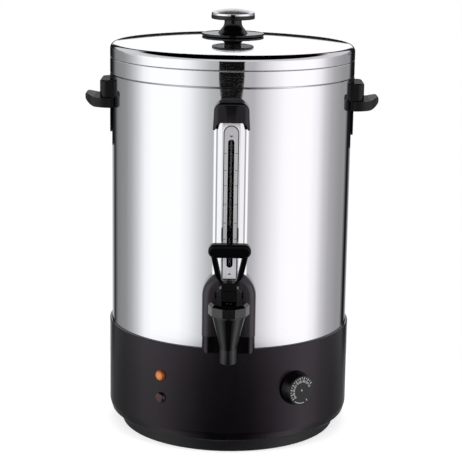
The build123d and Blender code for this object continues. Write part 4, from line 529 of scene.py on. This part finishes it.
class URN_OT_gauge(bpy.types.Operator):
    """Finishes the water gauge, prints its scale and lays a painted shade line round its plate"""

    bl_idname = "urn.gauge"
    bl_label = "Water gauge"

    def execute(self, context):
        finishes, marks, _ = settings_of(context)
        # The cap's reflections take a faint painted purple cast.
        cap = moulded_plastic(
            "ABS, black, moulded gloss", finishes.gloss_black, linear("08070A"), 0.06,
            depth=finishes.peel, painted_reflection_tint="FFF4FC", crown=80 * MM, worn=0.8,
        )
        dress(cap, "gauge_top_cap")
        # The shroud's reflections take a faint painted purple cast.
        shroud = moulded_plastic(
            "Polypropylene, black, moulded", finishes.gloss_black, linear("08070A"), 0.12,
            depth=finishes.peel, shine=0.8, painted_reflection_tint="FFF4FC", crown=200 * MM,
            band=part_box("tap_shroud")[0].z + SHROUD_BAND,
        )
        dress(shroud, "tap_shroud")
        steel = polished_steel("Stainless steel, folded and polished", finishes.steel, 0.012 * MM)
        dress(steel, "gauge_cover")
        # The lighter second colour is painted light on the plate's foot.
        plate = anodised_plate("Aluminium, brushed and anodised", finishes.plate_grey, linear("F0EEF4"))
        dress(plate, "gauge_plate")
        dress(drawn_glass("Borosilicate glass, drawn", linear("8C9296")), "gauge_glass")
        liner = moulded_plastic(
            "Polypropylene, black, matt", linear("08080A"), linear("0C0C10"), 0.6, 0.7 * MM
        )
        dress(liner, "gauge_liner")
        seals = moulded_rubber("Silicone, moulded", linear("D8D3CB"), linear("C6C0B6"), 0.42)
        dress(seals, "gauge_seals", "tap_gaskets", "tap_seat_cup")
        self.print_scale(marks)
        return {"FINISHED"}

    def print_scale(self, marks):
        """Lays the painted shade line round the plate's edge, and prints its lines and its two fill marks.
        """
        low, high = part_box("gauge_plate")
        front = low.y + SINK
        rise = Vector((0, -marks.ink - SINK, 0))
        scale = bmesh.new()

        def mark(*outline):
            slab(scale, [Vector((x, front, z)) for x, z in outline], rise)

        def bar(x0, x1, z, thick):
            under, over = z - thick / 2, z + thick / 2
            mark((x0, under), (x1, under), (x1, over), (x0, over))

        # The painted shade line round the plate's edge follows its arched top.
        wide = high.x - PLATE_EDGE * MM
        arch = high.z - PLATE_EDGE * MM - wide
        foot = low.z + PLATE_FOOT * MM
        turns = [math.radians(a) for a in range(0, 181, 10)]

        def path(reach):
            top = [(reach * math.cos(a), arch + reach * math.sin(a)) for a in turns]
            return [(reach, foot), *top, (-reach, foot)]

        outer, inner = path(wide), path(wide - marks.border)
        for i in range(len(outer) - 1):
            mark(outer[i], outer[i + 1], inner[i + 1], inner[i])

        near, far = SCALE_NEAR * MM, SCALE_FAR * MM
        for height in SCALE_LINES:
            bar(-far, -near, height * MM, marks.tick)
            bar(near, far, height * MM, marks.tick)
        for height, size, way in FILL_MARKS:
            bar(-size * MM, size * MM, height * MM, FILL_LINE * MM)
            side, root, tip = size / 2, height + way * FILL_LINE / 2, height + way * FILL_POINTER
            mark((-side * MM, root * MM), (side * MM, root * MM), (0, tip * MM))
        # One dark ink serves the printed lines and marks, and the painted shade line round the plate.
        ink = printed_ink("Ink, dark grey, screen printed", marks.dark, linear("4A484E"))
        new_piece("scale_marks_and_edge_shade", scale, ink, "urn")


class URN_OT_tap(bpy.types.Operator):
    """Finishes the tap with its lever and valve"""

    bl_idname = "urn.tap"
    bl_label = "Tap"

    def execute(self, context):
        finishes = settings_of(context)[0]
        black = moulded_plastic(
            "Polyamide, black, heat resistant, gloss", finishes.tap_black, linear("08080A"), 0.1,
            depth=finishes.peel, shine=0.8,
        )
        dress(black, "tap_body", "tap_bonnet")
        lever = moulded_plastic(
            "Polyamide, black, glass filled, gloss", finishes.tap_black, linear("08080A"), 0.16,
            depth=finishes.peel, shine=0.15,
        )
        dress(lever, "tap_lever")
        oxide = worked_metal("Steel, black oxide", linear("1C1C1E"), linear("141416"), 0.4, 0.5 * MM)
        dress(oxide, "tap_lever_pin")
        brass = worked_metal(
            "Brass, turned", linear("C9A45C"), linear("B58E48"), 0.24, 0.5 * MM, (0.05, 1.0, 1.0)
        )
        dress(brass, "tap_shank", "tap_lock_nut", "element_nuts", "inlet_pins")
        bright = worked_metal(
            "Stainless steel, ground", linear("D2D2D4"), linear("BEBEC2"), 0.26, 0.4 * MM
        )
        dress(bright, "tap_stem", "tap_spring", "heater_clamp_plate", "bulb_clip")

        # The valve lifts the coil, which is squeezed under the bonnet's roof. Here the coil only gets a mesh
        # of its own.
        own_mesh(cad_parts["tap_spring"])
        return {"FINISHED"}


class URN_OT_base(bpy.types.Operator):
    """Finishes the base, its feet and its screws"""

    bl_idname = "urn.base"
    bl_label = "Base"

    def execute(self, context):
        finishes = settings_of(context)[0]
        # The base's reflections take a painted purple cast.
        black = moulded_plastic(
            "Polypropylene, black, moulded gloss", finishes.gloss_black, linear("0A080C"), 0.17,
            depth=finishes.peel, painted_reflection_tint="FFEEFD",
        )
        dress(black, "base_skirt")
        satin = moulded_plastic(
            "Polypropylene, black, satin", finishes.satin_black, linear("19191C"), 0.42
        )
        dress(satin, "bottom_cover", "thermal_cutout", "power_inlet")
        rubber = moulded_rubber("Rubber, black, moulded", linear("161617"), linear("202022"), 0.68)
        dress(rubber, "rubber_feet", "element_gaskets")
        zinc = worked_metal("Steel, zinc plated", linear("C4C6C8"), linear("AEB0B0"), 0.3, 0.9 * MM)
        dress(
            zinc, "base_screws", "thermostat_screws", "inlet_screws", "handle_screws", "handle_washers",
            "lid_knob_screw", "lid_knob_washer", "gauge_cap_screw", "thermostat_shaft", "tank_studs",
            "tank_nuts",
        )
        return {"FINISHED"}


class URN_OT_dial(bpy.types.Operator):
    """Finishes the dial and prints its numbers"""

    bl_idname = "urn.dial"
    bl_label = "Dial"

    def execute(self, context):
        marks = settings_of(context)[1]
        black = moulded_plastic("Phenolic, black, moulded satin", linear("08080A"), linear("0C0B0E"), 0.2)
        dress(black, "thermostat_dial")
        self.print_dial(marks)
        return {"FINISHED"}

    def print_dial(self, marks):
        """Prints the dial's lines and numbers, the arc to its off line and the triangle in its middle."""
        turn = math.radians(DIAL_TURN)
        out = Vector((math.sin(turn), -math.cos(turn), 0))
        across = Vector((math.cos(turn), math.sin(turn), 0))
        up = Vector((0, 0, 1))
        centre = out * (DIAL_REACH * MM - SINK) + up * DIAL_HEIGHT * MM
        rise = out * (marks.ink + SINK)
        face = Matrix((across, up, out)).transposed().to_4x4()
        face.translation = centre
        prints = bmesh.new()

        def at(angle, distance, sideways=0.0):
            a = math.radians(angle)
            flat = Vector((math.cos(a), math.sin(a))) * distance
            flat += Vector((-math.sin(a), math.cos(a))) * sideways
            return centre + (across * flat.x + up * flat.y) * MM

        def stroke(angle, near, far, wide):
            corners = ((near, wide / 2), (near, -wide / 2), (far, -wide / 2), (far, wide / 2))
            slab(prints, [at(angle, r, s) for r, s in corners], rise)

        # A long line at each number and a short one between them.
        count = 2 * len(DIAL_NUMBERS) - 1
        step = (DIAL_LAST - DIAL_FIRST) / (count - 1)
        for i in range(count):
            near, wide = DIAL_SHORT_LINE if i % 2 else DIAL_LONG_LINE
            stroke(DIAL_FIRST + i * step, near, DIAL_LINES_R, wide)
        for i, number in enumerate(DIAL_NUMBERS):
            angle = DIAL_FIRST + 2 * i * step
            a = math.radians(angle)
            spot = Vector((math.cos(a), math.sin(a), 0)) * DIAL_NUMBERS_R * MM
            spot.z = marks.ink / 2
            upright = Matrix.Rotation(math.radians(angle - 90), 4, "Z")
            letters = self.letters(str(number), marks)
            letters.transform(face @ Matrix.Translation(spot) @ upright)
            prints.from_mesh(letters)
            bpy.data.meshes.remove(letters)

        outer = [at(a, DIAL_ARC_R) for a in DIAL_ARC]
        inner = [at(a, DIAL_ARC_IN_R) for a in reversed(DIAL_ARC)]
        slab(prints, outer + inner, rise)
        near, wide = DIAL_OFF_LINE
        stroke(DIAL_OFF, near, DIAL_ARC_R, wide)
        slab(prints, [at(a, r) for a, r in DIAL_TRIANGLE], rise)
        white = printed_ink("Ink, white, screen printed", marks.white, linear("D8D8D6"))
        new_piece("dial_marks", prints, white, "dial")

    def letters(self, words, marks):
        """A number as a raised mesh, centred."""
        curve = bpy.data.curves.new("number", "FONT")
        curve.body = words
        # The font's figures are 0.73 of its size.
        curve.size = marks.numerals / 0.73
        curve.align_x = curve.align_y = "CENTER"
        curve.extrude = marks.ink / 2
        text = bpy.data.objects.new("number", curve)
        bpy.context.scene.collection.objects.link(text)
        bpy.context.view_layer.update()
        mesh = bpy.data.meshes.new_from_object(text.evaluated_get(bpy.context.evaluated_depsgraph_get()))
        bpy.data.objects.remove(text)
        return mesh


class URN_OT_lamps(bpy.types.Operator):
    """Finishes the two lamp lenses and the reset button"""

    bl_idname = "urn.lamps"
    bl_label = "Lamps and button"

    def execute(self, context):
        finishes = settings_of(context)[0]
        # Each lens is painted lit in its middle and painted in shade at its rim.
        amber = lamp_lens(
            "Polycarbonate, amber, moulded", finishes.amber, linear("D06A24"), "warm_lamp_lens"
        )
        dress(amber, "warm_lamp_lens")
        red = lamp_lens(
            "Polycarbonate, dark red, moulded", finishes.maroon, linear("2A080C"), "heat_lamp_lens"
        )
        dress(red, "heat_lamp_lens")
        button = moulded_plastic("Nylon, red, moulded", linear("B01C1A"), linear("98140F"), 0.28)
        dress(button, "reset_button")
        return {"FINISHED"}


class URN_OT_works(bpy.types.Operator):
    """Finishes the heaters, the thermostat, the terminals and the wires"""

    bl_idname = "urn.works"
    bl_label = "Inner parts"

    def execute(self, context):
        element = heated_tube("Nickel alloy, annealed", linear("8E8A86"), linear("9C7A4C"), linear("5E6880"))
        dress(element, "heating_element")
        dress(mica_sheet("Mica, pressed", linear("B08A54"), linear("8C6A3C")), "keep_warm_heater")
        copper = worked_metal(
            "Copper, drawn", linear("C07C58"), linear("9C5C40"), 0.26, 0.6 * MM, (0.1, 1.0, 1.0)
        )
        dress(copper, "thermostat_bulb")
        white = moulded_plastic(
            "Steatite, fired", linear("E4E0D8"), linear("D6D0C6"), 0.5, 0.8 * MM, 0.02 * MM
        )
        dress(white, "thermostat_body", "lamp_bodies", "terminal_block")
        dress(braided_sleeve("Glass fibre, braided", linear("DAD4C6"), linear("8E8678")), "wiring_loom")
        return {"FINISHED"}


# The studio as polished steel mirrors it: brightness by degrees from the front, to each side. Two wide soft
# panels stand in front, with narrower ones behind and dark gaps between them.
LEFT_PANELS = (
    (0, 0.42), (13, 0.42), (20, 0.47), (30, 0.66), (40, 0.88), (50, 1.0), (80, 1.0), (90, 0.9), (100, 0.6),
    (110, 0.39), (120, 0.27), (130, 0.24), (140, 0.21), (150, 0.02), (155, 0.1), (160, 0.38), (165, 0.5),
    (170, 0.62), (178, 0.7),
)
RIGHT_PANELS = (
    (0, 0.42), (11, 0.42), (20, 0.44), (30, 0.65), (40, 0.83), (50, 0.97), (60, 1.0), (80, 1.0), (90, 0.87),
    (100, 0.57), (110, 0.4), (120, 0.33), (130, 0.28), (140, 0.28), (148, 0.01), (155, 0.01), (160, 0.15),
    (170, 0.5), (178, 0.7),
)
# What the black base mirrors, nearer the table.
LEFT_LOW = (
    (0, 0.0), (22, 0.01), (31, 0.11), (45, 0.25), (60, 0.5), (75, 0.6), (90, 0.5), (100, 0.32),
    (120, 0.15), (150, 0.15), (165, 0.3), (178, 0.6),
)
RIGHT_LOW = (
    (0, 0.0), (22, 0.01), (31, 0.1), (45, 0.25), (60, 0.6), (75, 0.85), (90, 0.6), (100, 0.35),
    (120, 0.15), (150, 0.15), (165, 0.3), (178, 0.6),
)
# By height, from -1 straight down to 1 straight up: the brightness of the wall behind, that of the strip in
# front, and the strip's reach to each side as a share of STRIP_SPAN degrees.
WALL = ((0.06, 0.01), (0.08, 1.0), (0.38, 1.0), (0.46, 0.0))
STRIP = ((-0.245, 0.02), (-0.241, 1.0), (-0.155, 1.0), (-0.149, 0.005))
STRIP_REACH = ((-0.157, 0.575), (-0.155, 0.27), (-0.125, 0.575))
STRIP_SPAN = 20.0
# How many degrees the strip stands to the left of the middle.
STRIP_LEFT = 0.5
# The heights between which the low panels, the even grey overhead and the dark ceiling come in.
LOW_EDGE = (-0.285, -0.3)
OVER_EDGE = (0.14, 0.26)
CEILING_EDGE = (0.6, 0.68)
# The degrees between which the dark gaps and the wall come in, and the height where they end.
GAP_EDGE = (150.0, 154.0)
WALL_EDGE = (164.0, 169.0)
WALL_FOOT = -0.165

FLOOR_SIDES = 96
# The board's rim, in metres: how far in from its radius, and height.
FLOOR_RIM = ((0.0, -0.006), (0.0, -0.0012), (0.001, -0.0002))
# How brightly the board glows to the eye, so that it is lost in the white and keeps the urn's shadow.
FLOOR_GLOW = 0.55

# Each lamp's name, place, size and power.
LAMPS = (
    ("lamp_left", (-1.3, -1.2, 1.3), 1.0, 9.0),
    ("lamp_right", (1.3, -1.2, 1.3), 1.0, 9.0),
    ("lamp_top", (0.0, 0.5, 1.9), 1.2, 8.0),
)
LAMP_AIM = Vector((0, 0, 0.25))

# The camera's place in metres, its tilt up from straight down and its roll in degrees, its lens and shift.
CAMERA_PLACE = (0, -1.8157, 0.6381)
CAMERA_TILT = 77.41
CAMERA_ROLL = 0.86
CAMERA_LENS = 121.43
CAMERA_SHIFT = (0.0022, -0.003)


def seen_by_eye(tree):
    """1 for what the eye sees, straight or through glass, and 0 for what surfaces see."""
    rays = add(tree, "LightPath").node.outputs
    return add(tree, "Math", (rays["Is Camera Ray"], rays["Is Transmission Ray"]), operation="MAXIMUM")


class URN_OT_stage(bpy.types.Operator):
    """Sets the floor, the soft light and the camera"""

    bl_idname = "urn.stage"
    bl_label = "Studio"

    def execute(self, context):
        stage = settings_of(context)[2]
        self.world(context, stage)
        self.floor(context, stage)
        self.lights(context)
        self.camera(context)
        return {"FINISHED"}

    def world(self, context, stage):
        """White to the eye and through glass, the panels to mirrors, and one even light to all else."""
        world = bpy.data.worlds.new("Studio")
        context.scene.world = world
        world.use_nodes = True
        world.cycles.sampling_method = "NONE"
        tree = world.node_tree
        tree.nodes.clear()
        glossy = add(tree, "LightPath", out="Is Glossy Ray")
        lit = {0: glossy, 6: (stage.room,) * 3, 7: self.mirrored(tree)}
        lit = add(tree, "Mix", lit, out=2, data_type="RGBA")
        white = (1.0, 1.0, 1.0)
        colour = add(tree, "Mix", {0: seen_by_eye(tree), 6: lit, 7: white}, out=2, data_type="RGBA")
        add(tree, "OutputWorld", {"Surface": add(tree, "Background", {"Color": colour, "Strength": 1.0})})

    def mirrored(self, tree):
        """What mirrors see, by direction."""
        direction = add(tree, "TexCoord", out="Generated")
        x, y, z = add(tree, "SeparateXYZ", (direction,)).node.outputs
        front = add(tree, "Math", (y, -1.0), operation="MULTIPLY")
        angle = add(tree, "Math", (x, front), operation="ARCTAN2")
        degrees = add(tree, "Math", (angle, 180 / math.pi), operation="MULTIPLY")
        turn = add(tree, "Math", (degrees,), operation="ABSOLUTE")
        right = add(tree, "Math", (x, 0.0), operation="GREATER_THAN")
        height = add(tree, "MapRange", (z, -1.0, 1.0, 0.0, 1.0))
        by_height = []
        for stops in (WALL, STRIP, STRIP_REACH):
            by_height.append(add(tree, "ValToRGB", (height,), [((h + 1) / 2, value) for h, value in stops]))
        wall, middle, reach = by_height

        # The panels, those near the table, and one even grey overhead.
        share = add(tree, "MapRange", (turn, 0.0, 180.0, 0.0, 1.0))
        levels = []
        for sides in ((LEFT_PANELS, RIGHT_PANELS), (LEFT_LOW, RIGHT_LOW)):
            pair = [add(tree, "ValToRGB", (share,), [(a / 180, value) for a, value in s]) for s in sides]
            both = {0: right, 6: pair[0], 7: pair[1]}
            levels.append(add(tree, "Mix", both, out=2, data_type="RGBA"))
        low = add(tree, "MapRange", (z, *LOW_EDGE, 0.0, 1.0))
        panels = add(tree, "Mix", {0: low, 6: levels[0], 7: levels[1]}, out=2, data_type="RGBA")
        over = add(tree, "MapRange", (z, *OVER_EDGE, 0.0, 1.0))
        grey = (0.6, 0.6, 0.6)
        panels = add(tree, "Mix", {0: over, 6: panels, 7: grey}, out=2, data_type="RGBA")

        # Behind, a bright wall stands between two dark gaps. They end above the table.
        dark = (0.01, 0.01, 0.01)
        near_back = add(tree, "MapRange", (turn, *WALL_EDGE, 0.0, 1.0))
        wall = add(tree, "Mix", {0: near_back, 6: dark, 7: wall}, out=2, data_type="RGBA")
        above = add(tree, "Math", (z, WALL_FOOT), operation="GREATER_THAN")
        behind = add(tree, "MapRange", (turn, *GAP_EDGE, 0.0, 1.0))
        behind = add(tree, "Math", (behind, above), operation="MULTIPLY")
        panels = add(tree, "Mix", {0: behind, 6: panels, 7: wall}, out=2, data_type="RGBA")

        # The strip in front draws in over the top of the gauge.
        reach = add(tree, "Math", (reach, STRIP_SPAN), operation="MULTIPLY")
        off = add(tree, "Math", (degrees, STRIP_LEFT), operation="ADD")
        off = add(tree, "Math", (off,), operation="ABSOLUTE")
        strip = add(tree, "Math", (off, reach), operation="LESS_THAN")
        none = (0.0, 0.0, 0.0)
        strip = add(tree, "Mix", {0: over, 6: strip, 7: none}, out=2, data_type="RGBA")
        panels = add(tree, "Mix", {0: strip, 6: panels, 7: middle}, out=2, data_type="RGBA")

        # The left side is a little cooler, and the ceiling is dark.
        ceiling = add(tree, "MapRange", (z, *CEILING_EDGE, 1.05, 0.0))
        cool, warm = (0.985, 1.0, 1.01), (1.0, 0.98, 1.01)
        cast = add(tree, "Mix", {0: right, 6: cool, 7: warm}, out=2, data_type="RGBA")
        panels = add(tree, "VectorMath", (panels, cast), operation="MULTIPLY")
        return add(tree, "VectorMath", {0: panels, "Scale": ceiling}, operation="SCALE")

    def floor(self, context, stage):
        """A pale board, lacquered matt: even, with the faint mottle of its lacquer."""
        material, tree = new_tree("Board, pale, matt lacquer")
        where = add(tree, "TexCoord", out="Object")
        mottle = add(tree, "TexNoise", {"Vector": where, "Scale": 1 / (40 * MM), "Detail": 3.0})
        duller = [0.98 * c for c in stage.floor]
        colour = add(tree, "Mix", {0: mottle, 6: stage.floor, 7: duller}, out=2, data_type="RGBA")
        matt = add(tree, "BsdfDiffuse", {"Color": colour, "Roughness": 0.6})
        seen = add(tree, "Math", (seen_by_eye(tree), FLOOR_GLOW), operation="MULTIPLY")
        glow = add(tree, "Emission", {"Color": (1.0, 1.0, 1.0), "Strength": seen})
        both = add(tree, "AddShader", (matt, glow))
        # Mirrors look past the board, at the room under it.
        glossy = add(tree, "LightPath", out="Is Glossy Ray")
        both = add(tree, "MixShader", (glossy, both, add(tree, "BsdfTransparent")))
        add(tree, "OutputMaterial", {"Surface": both})

        mesh = bmesh.new()
        turns = [math.tau * i / FLOOR_SIDES for i in range(FLOOR_SIDES)]
        rings = []
        for inset, z in FLOOR_RIM:
            r = stage.floor_radius - inset
            rings.append([mesh.verts.new((r * math.cos(a), r * math.sin(a), z)) for a in turns])
        for under, over in zip(rings, rings[1:]):
            for i in range(FLOOR_SIDES):
                j = (i + 1) % FLOOR_SIDES
                mesh.faces.new((under[i], under[j], over[j], over[i]))
        mesh.faces.new(rings[-1])
        data = bpy.data.meshes.new("board")
        mesh.to_mesh(data)
        mesh.free()
        data.materials.append(material)
        board = bpy.data.objects.new("board", data)
        context.scene.collection.objects.link(board)

    def lights(self, context):
        """Three wide soft lamps that lift the matt surfaces; mirrors don't see them."""
        for name, place, size, power in LAMPS:
            light = bpy.data.lights.new(name, "AREA")
            light.shape = "DISK"
            light.size = size
            light.energy = power
            lamp = bpy.data.objects.new(name, light)
            context.scene.collection.objects.link(lamp)
            lamp.location = place
            lamp.rotation_euler = (LAMP_AIM - Vector(place)).to_track_quat("-Z", "Y").to_euler()
            lamp.visible_glossy = False
            lamp.visible_camera = False

    def camera(self, context):
        """Looks a little down at the urn from the front, with a long lens."""
        data = bpy.data.cameras.new("camera")
        data.sensor_width = 36.0
        data.lens = CAMERA_LENS
        data.shift_x, data.shift_y = CAMERA_SHIFT
        data.clip_start = 0.05
        camera = bpy.data.objects.new("camera", data)
        context.scene.collection.objects.link(camera)
        tilt = Matrix.Rotation(math.radians(CAMERA_TILT), 4, "X")
        roll = Matrix.Rotation(math.radians(CAMERA_ROLL), 4, "Z")
        camera.matrix_world = Matrix.Translation(CAMERA_PLACE) @ tilt @ roll
        context.scene.camera = camera
        context.scene.view_settings.view_transform = "Standard"


OPERATORS = (
    URN_OT_tank, URN_OT_knob, URN_OT_handles, URN_OT_gauge, URN_OT_tap, URN_OT_base, URN_OT_dial,
    URN_OT_lamps, URN_OT_works, URN_OT_stage,
)


class URN_PT_panel(bpy.types.Panel):
    """Lists the urn's steps and settings"""

    bl_idname = "URN_PT_panel"
    bl_label = "Hot Water Urn"
    bl_space_type = "VIEW_3D"
    bl_region_type = "UI"
    bl_category = "Urn"

    def draw(self, context):
        for operator in OPERATORS:
            self.layout.operator(operator.bl_idname)
        for group in settings_of(context):
            box = self.layout.box()
            for name in group.bl_rna.properties.keys():
                if name not in ("rna_type", "name"):
                    box.prop(group, name)


CLASSES = (UrnFinishes, UrnMarks, UrnStage, *OPERATORS, URN_PT_panel)


def register():
    for made in CLASSES:
        bpy.utils.register_class(made)
    bpy.types.Scene.urn_finishes = PointerProperty(type=UrnFinishes)
    bpy.types.Scene.urn_marks = PointerProperty(type=UrnMarks)
    bpy.types.Scene.urn_stage = PointerProperty(type=UrnStage)


def unregister():
    del bpy.types.Scene.urn_stage, bpy.types.Scene.urn_marks, bpy.types.Scene.urn_finishes
    for made in reversed(CLASSES):
        bpy.utils.unregister_class(made)


def main():
    register()
    bpy.ops.urn.tank()
    bpy.ops.urn.knob()
    bpy.ops.urn.handles()
    bpy.ops.urn.gauge()
    bpy.ops.urn.tap()
    bpy.ops.urn.base()
    bpy.ops.urn.dial()
    bpy.ops.urn.lamps()
    bpy.ops.urn.works()
    bpy.ops.urn.stage()


if __name__ == "__main__":
    main()
